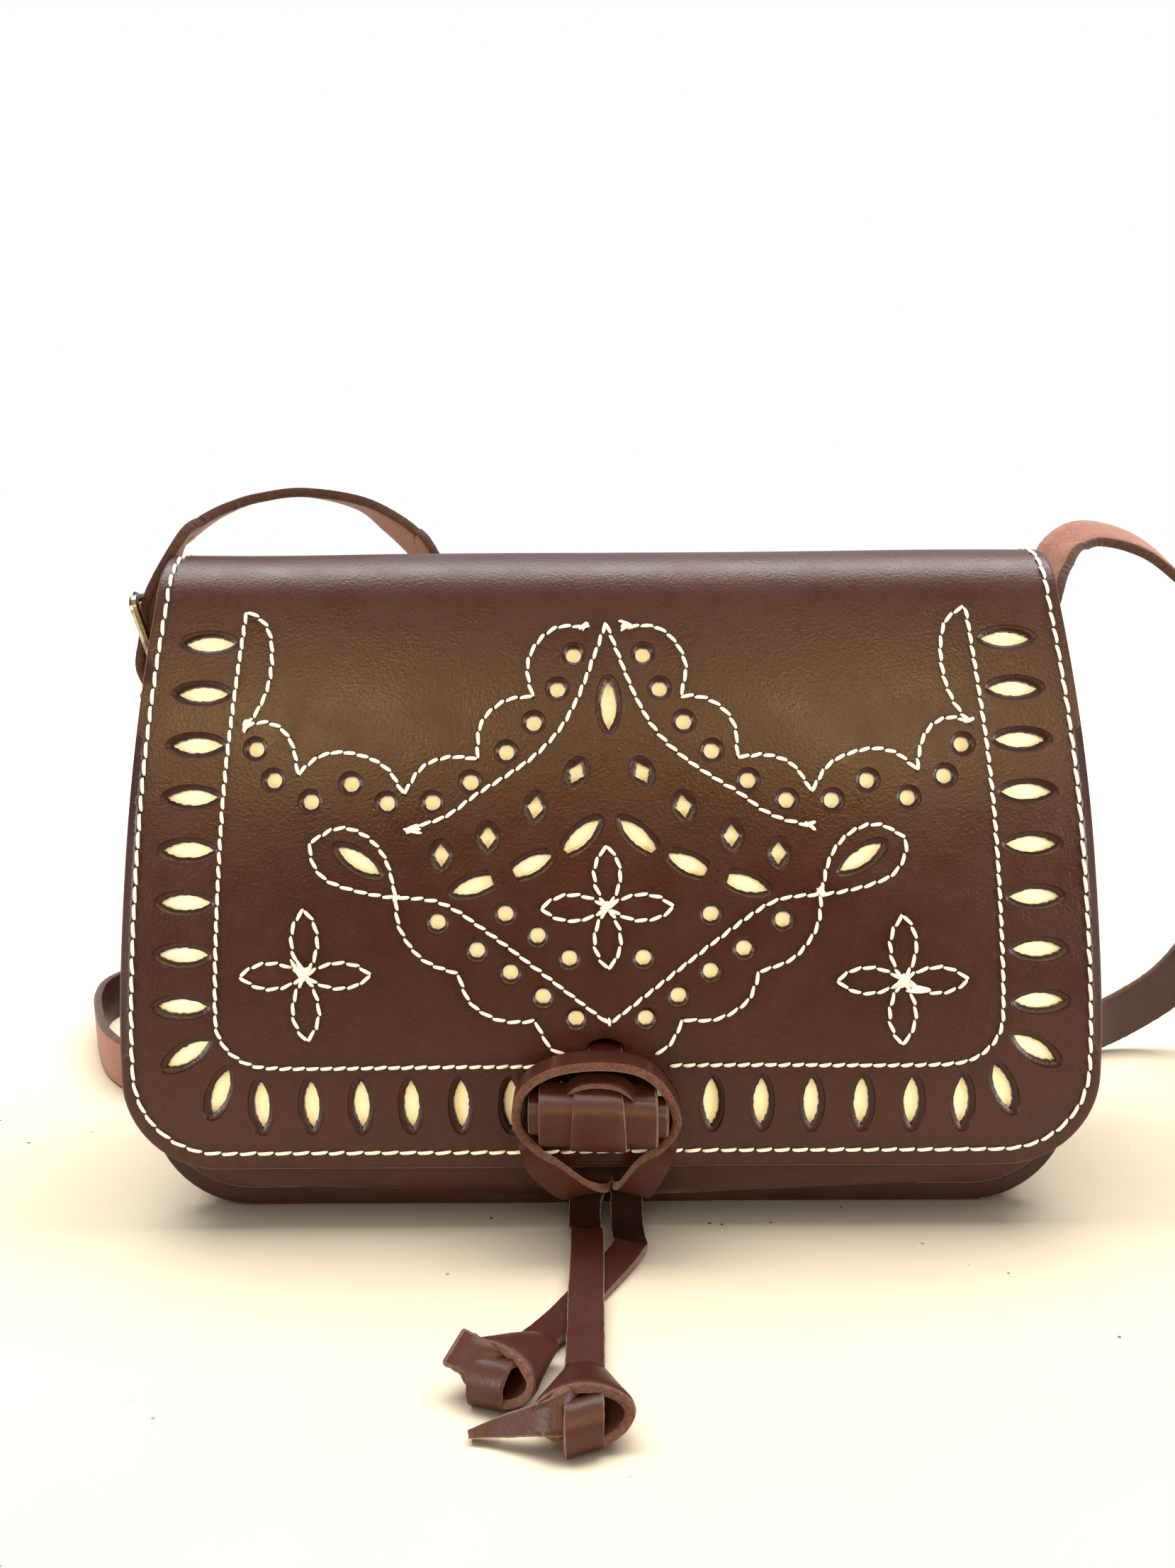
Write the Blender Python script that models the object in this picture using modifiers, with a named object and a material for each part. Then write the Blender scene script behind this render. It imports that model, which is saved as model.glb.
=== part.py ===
"""Small leather shoulder bag with a pierced, stitched flap over a pale inlay.

Metres, +Z up. The origin is the middle of the flat base. The front faces -Y and the wearer's
strap runs from the left side (-X) to the right side (+X).

Flap, front panel and seam strip are cut flat and bent over one side-view curve. A point of a
flat pattern is (u, v, w): u to the right, v up the leather from the flap's lower edge, and w
the depth behind the flap's outer face.
"""
import math

import bmesh
import bpy
from mathutils import Matrix, Vector

MM = 0.001
GAP = 0.3 * MM

# Body
BODY_DEPTH = 62 * MM
BODY_HALF_WIDTH = 113 * MM
BODY_CORNER = 24 * MM
BODY_HEIGHT = 150 * MM
FLARE_START = 100 * MM
FLARE = math.radians(3.5)
PANEL_THICK = 2.0 * MM
GUSSET_THICK = 2.0 * MM
PANEL_OVERHANG = 2.0 * MM
PANEL_LIFT = 4.0 * MM
FRONT_PANEL_TOP = 104 * MM
FRONT_PANEL_DIP = 5 * MM
WELT_THICK = 2.0 * MM
WELT_PROUD = 3.5 * MM
WELT_WIDTH = 9.0 * MM
WELT_LIFT = 0.3 * MM

# Flap: its outline, its layers and the side-view curve
FLAP_HALF_WIDTH = 120 * MM
FLAP_TAPER = 7.7 * MM
TAPER_START = 30 * MM
FLAP_CORNER = 23 * MM
FLAP_BOTTOM_Z = 16 * MM
OUTER_THICK = 2.0 * MM
INLAY_THICK = 0.8 * MM
LINING_THICK = 1.0 * MM
TAB_THICK = 1.5 * MM
INLAY_INSET = 5 * MM
INLAY_TOP = 139 * MM
LINING_TOP = 150 * MM
LOW_RUN = 80 * MM
HIGH_RUN = 60 * MM
LEAN_BOTTOM = math.radians(3.3)
LEAN_MIDDLE = math.radians(12)
LEAN_TOP = math.radians(26)

# Cut-outs
LEAF_LENGTH = 12.6 * MM
LEAF_WIDTH = 4.0 * MM
HOLE_DIAMETER = 4.0 * MM
DIAMOND_LENGTH = 6.2 * MM
DIAMOND_WIDTH = 4.2 * MM
BORDER_INSET = 15.0 * MM
COLUMN_COUNT = 8
COLUMN_START = 40 * MM
COLUMN_PITCH = 12.8 * MM
ROW_COUNT = 15
ROW_PITCH = 12.3 * MM
ORNAMENT_HALF_WIDTH = 120 * MM  # flap half width on which the ornament's places are measured
CORNER_LEAVES = 2
CORNER_BOW = 12 * MM

# Toggle, its slit, and the thong that loops over it
TOGGLE_U = -3.3 * MM
TOGGLE_V = 15.8 * MM
ROLL_RADII = (4.6 * MM, 7.0 * MM, 7.9 * MM)
ROLL_HALF_LENGTHS = (17.2 * MM, 14 * MM, 6 * MM)
NECK_WIDTH = 8.5 * MM
NECK_THICK = 1.8 * MM
NECK_SUNK = 0.6 * MM
SLIT_U = -1.5 * MM
SLIT_V = 30.4 * MM
TAB_DROP = 11 * MM
THONG_WIDTH = 7.5 * MM
THONG_THICK = 1.8 * MM
LOOP_WIDTH = 9.0 * MM
SLOT_V = -8.9 * MM
LOOP_SLOT_V = -7.5 * MM
LEG_SPREAD = 8.4 * MM

# Shoulder strap and its fittings, on the two sides of the bag
STRAP_WIDTH = 15 * MM
STRAP_THICK = 2.5 * MM
SIDE_Y = 17 * MM
STRAP_HOLES = 5
STRAP_HOLE_PITCH = 14.5 * MM
STRAP_HOLE_WIDTH = 3.0 * MM
PRONG_HOLE_LENGTH = 9.5 * MM
BUCKLE_BAR_S = 36 * MM
BUCKLE_LENGTH = 17 * MM
BUCKLE_HALF_WIDTH = 10.5 * MM
BUCKLE_ROD = 1.3 * MM
BUCKLE_TILT = math.radians(12)
CHAPE_WIDTH = 14 * MM
CHAPE_THICK = 1.8 * MM
CHAPE_LENGTH = 28 * MM
KEEPER_WIDTH = 6 * MM
KEEPER_THICK = 1.2 * MM
KEEPER_DROP = 11 * MM
PRONG_THICK = 1.5 * MM
PRONG_EYE = 2.7 * MM
PRONG_CROSSING = 6.5 * MM
RIVET_SHANK = 1.6 * MM
RIVET_HEAD = 4.0 * MM
RIVET_DOME = 1.5 * MM
CHAPE_RIVET_DROP = 22.5 * MM
END_RIVETS_S = (29 * MM, 43 * MM)

# Worked out from the sizes above
BACK_Y = BODY_DEPTH / 2
INLAY_W = OUTER_THICK + GAP
LINING_W = INLAY_W + INLAY_THICK + GAP
TAB_W = LINING_W + LINING_THICK + GAP
PANEL_W = TAB_W + TAB_THICK + GAP
WELT_W = PANEL_W + PANEL_THICK + GAP
GUSSET_W = WELT_W + WELT_THICK + GAP
FLAP_FRONT_Y = -BODY_DEPTH / 2 - PANEL_W
DROP = LOW_RUN + HIGH_RUN


def arc_end(start, run, lean_from, lean_to):
    """End point (y, z) of an arc of the side view that turns from one lean to another."""
    radius = run / (lean_to - lean_from)
    y = start[0] + radius * (math.cos(lean_from) - math.cos(lean_to))
    z = start[1] + radius * (math.sin(lean_to) - math.sin(lean_from))
    return y, z


MIDDLE_YZ = arc_end((FLAP_FRONT_Y, FLAP_BOTTOM_Z), LOW_RUN, LEAN_BOTTOM, LEAN_MIDDLE)
TOP_YZ = arc_end(MIDDLE_YZ, HIGH_RUN, LEAN_MIDDLE, LEAN_TOP)
RIDGE_RADIUS = (BACK_Y - TOP_YZ[0]) / (math.cos(LEAN_TOP) + 1)
RIDGE_RUN = RIDGE_RADIUS * (math.pi - LEAN_TOP)
FLAP_LENGTH = DROP + RIDGE_RUN
HINGE_Z = TOP_YZ[1] - RIDGE_RADIUS * math.sin(LEAN_TOP)


def side_view(v):
    """(y, z, lean) of the flap's outer face at v, straight on below the flap's edge."""
    if v <= 0:
        y = FLAP_FRONT_Y + v * math.sin(LEAN_BOTTOM)
        return y, FLAP_BOTTOM_Z + v * math.cos(LEAN_BOTTOM), LEAN_BOTTOM
    if v <= LOW_RUN:
        lean = LEAN_BOTTOM + (LEAN_MIDDLE - LEAN_BOTTOM) * v / LOW_RUN
        y, z = arc_end((FLAP_FRONT_Y, FLAP_BOTTOM_Z), v, LEAN_BOTTOM, lean)
        return y, z, lean
    if v <= DROP:
        lean = LEAN_MIDDLE + (LEAN_TOP - LEAN_MIDDLE) * (v - LOW_RUN) / HIGH_RUN
        y, z = arc_end(MIDDLE_YZ, v - LOW_RUN, LEAN_MIDDLE, lean)
        return y, z, lean
    lean = LEAN_TOP + (v - DROP) / RIDGE_RADIUS
    y, z = arc_end(TOP_YZ, v - DROP, LEAN_TOP, lean)
    return y, z, lean


def place(u, v, w):
    """World point of the flat pattern's point (u, v, w)."""
    y, z, lean = side_view(v)
    return Vector((u, y + w * math.cos(lean), z - w * math.sin(lean)))


def depth_direction(v):
    lean = side_view(v)[2]
    return Vector((0, math.cos(lean), -math.sin(lean)))


def front_y(z, w):
    """y of the bent front at height z and depth w, found by halving."""
    low, high = -FLAP_BOTTOM_Z * 2, DROP
    for _ in range(40):
        middle = (low + high) / 2
        if place(0, middle, w).z < z:
            low = middle
        else:
            high = middle
    return place(0, low, w).y


def bend_lines():
    """Values of v at which a flat piece is cut across, so that it bends smoothly."""
    lines = [LOW_RUN * i / 4 for i in range(1, 5)]
    lines += [LOW_RUN + HIGH_RUN * i / 6 for i in range(1, 7)]
    lines += [DROP + RIDGE_RUN * i / 12 for i in range(1, 12)]
    return lines


# Scene and helpers

def clear_scene():
    for obj in list(bpy.data.objects):
        bpy.data.objects.remove(obj, do_unlink=True)


def new_collection(name):
    collection = bpy.data.collections.new(name)
    bpy.context.scene.collection.children.link(collection)
    return collection


def leather(name, colour, roughness=0.5, metallic=0.0):
    material = bpy.data.materials.new(name)
    material.use_nodes = True
    shader = material.node_tree.nodes["Principled BSDF"]
    shader.inputs["Base Color"].default_value = (*colour, 1)
    shader.inputs["Roughness"].default_value = roughness
    shader.inputs["Metallic"].default_value = metallic
    return material


def add_object(name, mesh, collection, material=None):
    obj = bpy.data.objects.new(name, mesh)
    collection.objects.link(obj)
    if material:
        mesh.materials.clear()
        mesh.materials.append(material)
    return obj


def shade_smooth(obj, angle=35):
    obj.data.shade_smooth()
    obj.data.set_sharp_from_angle(angle=math.radians(angle))


def evaluated_mesh(obj):
    """The object's mesh with its modifiers applied, in world space; the object is removed."""
    bpy.context.view_layer.update()
    graph = bpy.context.evaluated_depsgraph_get()
    mesh = bpy.data.meshes.new_from_object(obj.evaluated_get(graph))
    mesh.transform(obj.matrix_world)
    bpy.data.objects.remove(obj, do_unlink=True)
    return mesh


def flat_mesh(outline, holes, thick, collection):
    """Closed flat slab of an outline with holes, in (u, v, height) with height +-thick/2."""
    curve = bpy.data.curves.new("outline", "CURVE")
    curve.dimensions = "2D"
    curve.fill_mode = "BOTH"
    curve.extrude = thick / 2
    for ring in [outline, *holes]:
        spline = curve.splines.new("POLY")
        spline.points.add(len(ring) - 1)
        for point, (u, v) in zip(spline.points, ring):
            point.co = (u, v, 0, 1)
        spline.use_cyclic_u = True
    obj = bpy.data.objects.new("outline", curve)
    collection.objects.link(obj)
    mesh = evaluated_mesh(obj)
    bm = bmesh.new()
    bm.from_mesh(mesh)
    bmesh.ops.remove_doubles(bm, verts=bm.verts, dist=1e-6)
    bmesh.ops.recalc_face_normals(bm, faces=bm.faces)
    bm.to_mesh(mesh)
    bm.free()
    return mesh


def bend_mesh(mesh, w_middle):
    """Cut a flat mesh across at the bend lines and bend it over the side-view curve."""
    bm = bmesh.new()
    bm.from_mesh(mesh)
    for v in bend_lines():
        geometry = bm.verts[:] + bm.edges[:] + bm.faces[:]
        bmesh.ops.bisect_plane(bm, geom=geometry, dist=1e-7, plane_co=(0, v, 0), plane_no=(0, 1, 0))
    for vert in bm.verts:
        vert.co = place(vert.co.x, vert.co.y, w_middle - vert.co.z)
    bm.to_mesh(mesh)
    bm.free()
    return mesh


def bent_slab(name, outline, holes, w, thick, parts, material):
    mesh = bend_mesh(flat_mesh(outline, holes, thick, parts), w + thick / 2)
    obj = add_object(name, mesh, parts, material)
    shade_smooth(obj)
    return obj


def smooth_route(points, steps):
    """Points of a smooth curve through the route's points, with steps between each two."""
    points = [Vector(p) for p in points]
    ends = [2 * points[0] - points[1]] + points + [2 * points[-1] - points[-2]]
    found = []
    for i in range(1, len(ends) - 2):
        before, start, end, after = ends[i - 1:i + 3]
        for k in range(steps):
            t = k / steps
            found.append(
                0.5 * (2 * start + (end - before) * t
                       + (2 * before - 5 * start + 4 * end - after) * t ** 2
                       + (3 * start - before - 3 * end + after) * t ** 3)
            )
    found.append(points[-1])
    return found


def strip(name, route, across, width, thick, steps, parts, material, taper=None):
    """Flat strap along a route: an open surface, as wide as the strap, with Solidify."""
    centres = smooth_route(route, steps)
    sides = smooth_route(across, steps)
    bm = bmesh.new()
    rows = []
    for i, centre in enumerate(centres):
        ahead = centres[min(i + 1, len(centres) - 1)] - centres[max(i - 1, 0)]
        ahead.normalize()
        side = (sides[i] - ahead * sides[i].dot(ahead)).normalized()
        half = width / 2 * (taper(i / (len(centres) - 1)) if taper else 1)
        rows.append([bm.verts.new(centre - side * half), bm.verts.new(centre + side * half)])
    for first, second in zip(rows, rows[1:]):
        bm.faces.new((first[0], first[1], second[1], second[0]))
    mesh = bpy.data.meshes.new(name)
    bm.to_mesh(mesh)
    bm.free()
    obj = add_object(name, mesh, parts, material)
    solid = obj.modifiers.new("thickness", "SOLIDIFY")
    solid.thickness = thick
    solid.offset = 0
    solid.use_even_offset = True
    shade_smooth(obj)
    return obj


def cut(obj, cutter, cutters):
    """Take cutter away from obj with a Boolean modifier."""
    if cutter.name not in cutters.objects:
        for collection in list(cutter.users_collection):
            collection.objects.unlink(cutter)
        cutters.objects.link(cutter)
    cutter.hide_render = True
    cutter.display_type = "WIRE"
    boolean = obj.modifiers.new("cut", "BOOLEAN")
    boolean.operation = "DIFFERENCE"
    boolean.solver = "EXACT"
    boolean.object = cutter


def cylinder(name, radius, length, matrix, collection, segments=20, stretch=1.0):
    """Cylinder along the matrix's local Z, its section stretched along local Y."""
    bm = bmesh.new()
    bmesh.ops.create_cone(
        bm, cap_ends=True, segments=segments, radius1=radius, radius2=radius, depth=length
    )
    mesh = bpy.data.meshes.new(name)
    bm.to_mesh(mesh)
    bm.free()
    mesh.transform(Matrix.Diagonal((1, stretch, 1, 1)))
    obj = add_object(name, mesh, collection)
    obj.matrix_world = matrix
    return obj


def box(name, low, high, collection):
    bm = bmesh.new()
    bmesh.ops.create_cube(bm, size=1)
    mesh = bpy.data.meshes.new(name)
    bm.to_mesh(mesh)
    bm.free()
    size = Vector(high) - Vector(low)
    middle = (Vector(high) + Vector(low)) / 2
    mesh.transform(Matrix.Translation(middle) @ Matrix.Diagonal((*size, 1)))
    return add_object(name, mesh, collection)


# Flat outlines

def arc_points(centre, radius, start, end, count):
    """Points of an arc about centre, angles in degrees."""
    found = []
    for i in range(count + 1):
        angle = math.radians(start + (end - start) * i / count)
        found.append((centre[0] + radius * math.cos(angle), centre[1] + radius * math.sin(angle)))
    return found


def mirrored(right_half):
    """Closed ring from its right half, which runs up from the bottom to the top."""
    return right_half + [(-u, v) for u, v in reversed(right_half)]


def flap_half_width(v):
    share = max(0.0, v - TAPER_START) / (DROP - TAPER_START)
    return FLAP_HALF_WIDTH - FLAP_TAPER * min(1.0, share) ** 1.3


def flap_outline(inset, bottom, top):
    """Flap's outline moved in by inset, between v = bottom and v = top."""
    radius = FLAP_CORNER - inset
    centre = (FLAP_HALF_WIDTH - FLAP_CORNER, bottom + radius)
    half = arc_points(centre, radius, -90, 0, 8)
    levels = [TAPER_START + (DROP - TAPER_START) * i / 8 for i in range(9)]
    half += [(flap_half_width(v) - inset, v) for v in levels if v < top - GAP]
    half.append((flap_half_width(top) - inset, top))
    return mirrored(half)


def leaf(u, v, angle, length=LEAF_LENGTH, width=LEAF_WIDTH):
    """Pointed leaf: two arcs between its tips; angle in degrees from the u direction."""
    sagitta = width / 2
    radius = (length ** 2 / 4 + sagitta ** 2) / (2 * sagitta)
    reach = math.degrees(math.asin(length / 2 / radius))
    upper = arc_points((0, sagitta - radius), radius, 90 - reach, 90 + reach, 6)
    lower = arc_points((0, radius - sagitta), radius, 270 - reach, 270 + reach, 6)
    turn = math.radians(angle)
    found = []
    for a, b in upper[:-1] + lower[:-1]:
        found.append((u + a * math.cos(turn) - b * math.sin(turn),
                      v + a * math.sin(turn) + b * math.cos(turn)))
    return found


def round_hole(u, v):
    return arc_points((u, v), HOLE_DIAMETER / 2, 0, 330, 11)


def diamond(u, v, angle):
    turn = math.radians(angle)
    along = Vector((math.cos(turn), math.sin(turn))) * DIAMOND_LENGTH / 2
    across = Vector((-math.sin(turn), math.cos(turn))) * DIAMOND_WIDTH / 2
    middle = Vector((u, v))
    return [tuple(p) for p in (middle + along, middle + across, middle - along, middle - across)]


ORNAMENT_SPREAD = FLAP_HALF_WIDTH / ORNAMENT_HALF_WIDTH


def both_sides(shape, places):
    """The shape at each place on the right and, mirrored, on the left. Sizes in millimetres."""
    found = []
    for u, v, *angle in places:
        found.append(shape(u * MM * ORNAMENT_SPREAD, v * MM, *angle))
        found.append([(-a, b) for a, b in reversed(found[-1])])
    return found


UPPER_CHAIN = (
    (8.5, 126), (12.5, 117.3), (18.3, 109), (25, 101.8), (33.7, 94.5), (43, 89.6),
    (54, 89.5), (62.7, 94.3), (72.5, 90), (81.5, 95.3), (86, 103),
)
LOWER_CHAIN = ((42, 60.5), (32.5, 53.5), (24.4, 48), (16.5, 42), (8.5, 36.5))
INNER_CHAIN_LEFT = ((25.5, 62.4), (17.7, 57), (10, 51.4))
INNER_CHAIN_RIGHT = ((24.5, 62), (8, 51.4))
DIAMONDS = ((8, 96.6, 115), (18, 88.3, 100), (29.6, 81, 90), (41, 76.7, 90))
INNER_LEAVES = ((7.1, 80.9, -43), (19.5, 74, -26), (32.5, 69.4, -18), (61, 75.5, 33))
CENTRE_LEAF = (0, 113.3, 90)


def border_leaves():
    """Leaves that follow the flap's sides, corners and lower edge, pointing inward."""
    found = []
    for i in range(COLUMN_COUNT):
        v = COLUMN_START + COLUMN_PITCH * i
        u = flap_half_width(v) - BORDER_INSET
        found += [leaf(u, v, 0), leaf(-u, v, 0)]
    radius = FLAP_CORNER - BORDER_INSET + CORNER_BOW
    centre = (FLAP_HALF_WIDTH - BORDER_INSET - radius, BORDER_INSET + radius)
    for i in range(CORNER_LEAVES):
        turn = math.radians(-20 - 36 * i)
        u = centre[0] + radius * math.cos(turn)
        v = centre[1] + radius * math.sin(turn)
        found += [leaf(u, v, math.degrees(turn) - 12), leaf(-u, v, 192 - math.degrees(turn))]
    for i in range(ROW_COUNT):
        u = (i - (ROW_COUNT - 1) / 2) * ROW_PITCH * ORNAMENT_SPREAD
        found.append(leaf(u, BORDER_INSET, 90))
    return found


def cutouts():
    found = border_leaves()
    found += both_sides(round_hole, UPPER_CHAIN + LOWER_CHAIN)
    found += [round_hole(-u * MM * ORNAMENT_SPREAD, v * MM) for u, v in INNER_CHAIN_LEFT]
    found += [round_hole(u * MM * ORNAMENT_SPREAD, v * MM) for u, v in INNER_CHAIN_RIGHT]
    found += both_sides(diamond, DIAMONDS)
    found += both_sides(leaf, INNER_LEAVES)
    found.append(leaf(CENTRE_LEAF[0] * MM, CENTRE_LEAF[1] * MM, CENTRE_LEAF[2]))
    return found


def slit():
    """Slit that the toggle's neck passes through, in all three layers of the flap."""
    half = NECK_WIDTH / 2 + GAP
    low = SLIT_V - NECK_THICK / 2 - GAP
    high = SLIT_V + NECK_THICK / 2 + GAP
    return [(SLIT_U - half, low), (SLIT_U + half, low), (SLIT_U + half, high), (SLIT_U - half, high)]


# Flap

def make_flap(parts, brown, cream, lining):
    bent_slab("flap_outer", flap_outline(0, 0, FLAP_LENGTH), cutouts() + [slit()], 0,
              OUTER_THICK, parts, brown)
    bent_slab("flap_inlay", flap_outline(INLAY_INSET, INLAY_INSET, INLAY_TOP), [slit()], INLAY_W,
              INLAY_THICK, parts, cream)
    bent_slab("flap_lining", flap_outline(0, 0, LINING_TOP), [slit()], LINING_W,
              LINING_THICK, parts, lining)


# Body

def panel_half(inset, lift, corner):
    """Right lower quarter of a panel's outline, from the base to its straight side."""
    half_width = BODY_HALF_WIDTH + PANEL_OVERHANG - inset
    radius = corner - inset
    return arc_points((half_width - radius, lift + radius), radius, -90, 0, 8)


def height_to_v(z):
    """v of the front panel's flat pattern at height z below the flap's lower edge."""
    return (z - FLAP_BOTTOM_Z + PANEL_W * math.sin(LEAN_BOTTOM)) / math.cos(LEAN_BOTTOM)


def make_front_panel(parts, brown):
    base = height_to_v(PANEL_LIFT)
    half = panel_half(0, base, BODY_CORNER)
    edge = half[-1][0]
    half += [(edge, FRONT_PANEL_TOP * i / 3) for i in (1, 2)]
    half += [(edge - 2 * MM, FRONT_PANEL_TOP), (edge * 0.6, FRONT_PANEL_TOP - FRONT_PANEL_DIP * 0.6),
             (edge * 0.2, FRONT_PANEL_TOP - FRONT_PANEL_DIP)]
    slot_half = LEG_SPREAD / 2 + LOOP_WIDTH / 2 + GAP
    slot_height = THONG_THICK + 3 * GAP
    corners = ((-1, -1), (1, -1), (1, 1), (-1, 1))
    slot = [(a * slot_half, SLOT_V + b * slot_height) for a, b in corners]
    bent_slab("front_panel", mirrored(half), [slot], PANEL_W, PANEL_THICK, parts, brown)


def make_front_welt(parts, brown):
    """U-shaped seam strip between front panel and gusset, a little proud of both."""
    proud = WELT_PROUD - PANEL_OVERHANG
    base = height_to_v(WELT_LIFT)
    outer = panel_half(-proud, base, BODY_CORNER)
    inner = panel_half(WELT_WIDTH - proud, base + WELT_WIDTH, BODY_CORNER)
    outer.append((outer[-1][0], FRONT_PANEL_TOP - FRONT_PANEL_DIP))
    inner.append((inner[-1][0], FRONT_PANEL_TOP - FRONT_PANEL_DIP))
    right = outer + inner[::-1]
    left = [(-u, v) for u, v in inner] + [(-u, v) for u, v in reversed(outer)]
    bent_slab("front_welt", right + left, [], WELT_W, WELT_THICK, parts, brown)


def gusset_line(inset):
    """Right half of the gusset's outline in front view, from the base to its top."""
    half = BODY_HALF_WIDTH - inset
    radius = BODY_CORNER - inset
    found = arc_points((half - radius, inset + radius), radius, -90, 0, 8)
    rise = FLARE_START - BODY_CORNER
    found += [(half, BODY_CORNER + rise * i / 4) for i in range(1, 5)]
    for i in range(1, 4):
        up = (BODY_HEIGHT - FLARE_START) * i / 3
        found.append((half + up * math.tan(FLARE), FLARE_START + up))
    return found


def make_gusset(parts, brown):
    outer = gusset_line(0)
    inner = gusset_line(GUSSET_THICK)
    ring = outer + inner[::-1]
    ring += [(-u, v) for u, v in inner] + [(-u, v) for u, v in reversed(outer)]
    mesh = flat_mesh(ring, [], 2 * MM, parts)
    for vert in mesh.vertices:
        x, z, side = vert.co
        y = front_y(z, GUSSET_W) if side > 0 else BACK_Y - PANEL_THICK - GAP
        vert.co = (x, y, z)
    obj = add_object("gusset", mesh, parts, brown)
    shade_smooth(obj)
    return obj


def make_back_panel(parts, brown):
    half = panel_half(0, WELT_LIFT, BODY_CORNER)
    top = HINGE_Z - GAP
    half += [(half[-1][0], top - 12 * MM), (FLAP_HALF_WIDTH - FLAP_TAPER, top)]
    mesh = flat_mesh(mirrored(half), [], PANEL_THICK, parts)
    mesh.transform(Matrix.Rotation(math.radians(90), 4, "X"))
    mesh.transform(Matrix.Translation((0, BACK_Y - PANEL_THICK / 2, 0)))
    add_object("back_panel", mesh, parts, brown)


# Toggle and thong

def make_toggle(parts, brown):
    """Rolled strip with its neck through the flap's slit and a tab turned down inside."""
    middle_w = -GAP - NECK_THICK - ROLL_RADII[1] + NECK_SUNK
    profile = [(-ROLL_HALF_LENGTHS[0], 0)]
    for sign in (-1, 1):
        steps = list(zip(ROLL_RADII, ROLL_HALF_LENGTHS))
        if sign > 0:
            steps.reverse()
        for i, (radius, half) in enumerate(steps):
            inner = 0 if sign > 0 and i == 0 else half
            if inner or sign < 0:
                profile.append((sign * half, radius))
            following = steps[i + 1] if i + 1 < len(steps) else None
            if sign < 0 and following:
                profile.append((-following[1], radius))
            if sign > 0 and following:
                profile.append((half, following[0]))
    profile.append((ROLL_HALF_LENGTHS[0], 0))
    bm = bmesh.new()
    verts = [bm.verts.new((x, radius, 0)) for x, radius in profile]
    for first, second in zip(verts, verts[1:]):
        bm.edges.new((first, second))
    mesh = bpy.data.meshes.new("toggle")
    bm.to_mesh(mesh)
    bm.free()
    roll = add_object("roll", mesh, parts)
    screw = roll.modifiers.new("turn", "SCREW")
    screw.axis = "X"
    screw.angle = math.tau
    screw.steps = 28
    screw.render_steps = 28
    screw.use_merge_vertices = True
    screw.merge_threshold = 0.00005
    screw.use_normal_calculate = True
    roll.location = (TOGGLE_U, TOGGLE_V, -middle_w)

    half = NECK_WIDTH / 2
    low_v = SLIT_V - NECK_THICK / 2
    high_v = SLIT_V + NECK_THICK / 2
    front = (GAP, GAP + NECK_THICK)
    pieces = [
        ((SLIT_U - half, TOGGLE_V, front[0]), (SLIT_U + half, high_v, front[1])),
        ((SLIT_U - half, low_v, -TAB_W - TAB_THICK), (SLIT_U + half, high_v, front[1])),
        ((SLIT_U - half, low_v - TAB_DROP, -TAB_W - TAB_THICK), (SLIT_U + half, high_v, -TAB_W)),
    ]
    for low, high in pieces:
        other = box("neck", low, high, parts)
        other.hide_render = True
        join = roll.modifiers.new("join", "BOOLEAN")
        join.operation = "UNION"
        join.solver = "EXACT"
        join.object = other
    helpers = [m.object for m in roll.modifiers if m.type == "BOOLEAN"]
    mesh = evaluated_mesh(roll)
    for helper in helpers:
        bpy.data.objects.remove(helper, do_unlink=True)
    obj = add_object("toggle", bend_mesh(mesh, 0), parts, brown)
    shade_smooth(obj)


LOOP_TOP_V = 28.6 * MM
LOOP_TOP_W = -7.4 * MM
LOOP_HALF = (
    ((7.6, -4.3, -1.2), (0.75, -0.45, 0.5)),
    ((12.8, 0.6, -4.4), (0.5, -0.45, 0.75)),
    ((17.6, 6.4, -5.7), (0.15, -0.15, 0.98)),
    ((19.7, 14.8, -5.9), (0, 0, 1)),
    ((17.7, 22, -6.4), (0, 0, 1)),
    ((11, 27, -7.0), (0, 0, 1)),
)


def loop_route():
    """Thong's way in flat-pattern places: out of the slot, round the toggle and back."""
    leg = LEG_SPREAD / 2
    half = [((leg, LOOP_SLOT_V, PANEL_W + PANEL_THICK - GAP), (1, 0, 0)),
            ((leg + 0.4 * MM, LOOP_SLOT_V - 0.2 * MM, PANEL_W - 2.6 * MM), (1, 0, 0.2))]
    half += [((u * MM, v * MM, w * MM), across) for (u, v, w), across in LOOP_HALF]
    left, right = [], []
    for i, ((u, v, w), (a, b, c)) in enumerate(half):
        shift = TOGGLE_U * min(1, max(0, i - 1) / 2)
        left.append(((shift - u, v, w), (-a, b, c)))
        right.append(((shift + u, v, w), (a, b, c)))
    top = ((TOGGLE_U, LOOP_TOP_V, LOOP_TOP_W), (0, 0, 1))
    return left + [top] + right[::-1]


def make_loop(parts, brown):
    route, across = [], []
    for (u, v, w), (a, b, c) in loop_route():
        lean = side_view(v)[2]
        route.append(place(u, v, w))
        across.append(Vector((a, 0, 0)) + depth_direction(v) * c
                      + Vector((0, math.sin(lean), math.cos(lean))) * b)
    strip("closure_loop", route, across, LOOP_WIDTH, THONG_THICK, 4, parts, brown)


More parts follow.
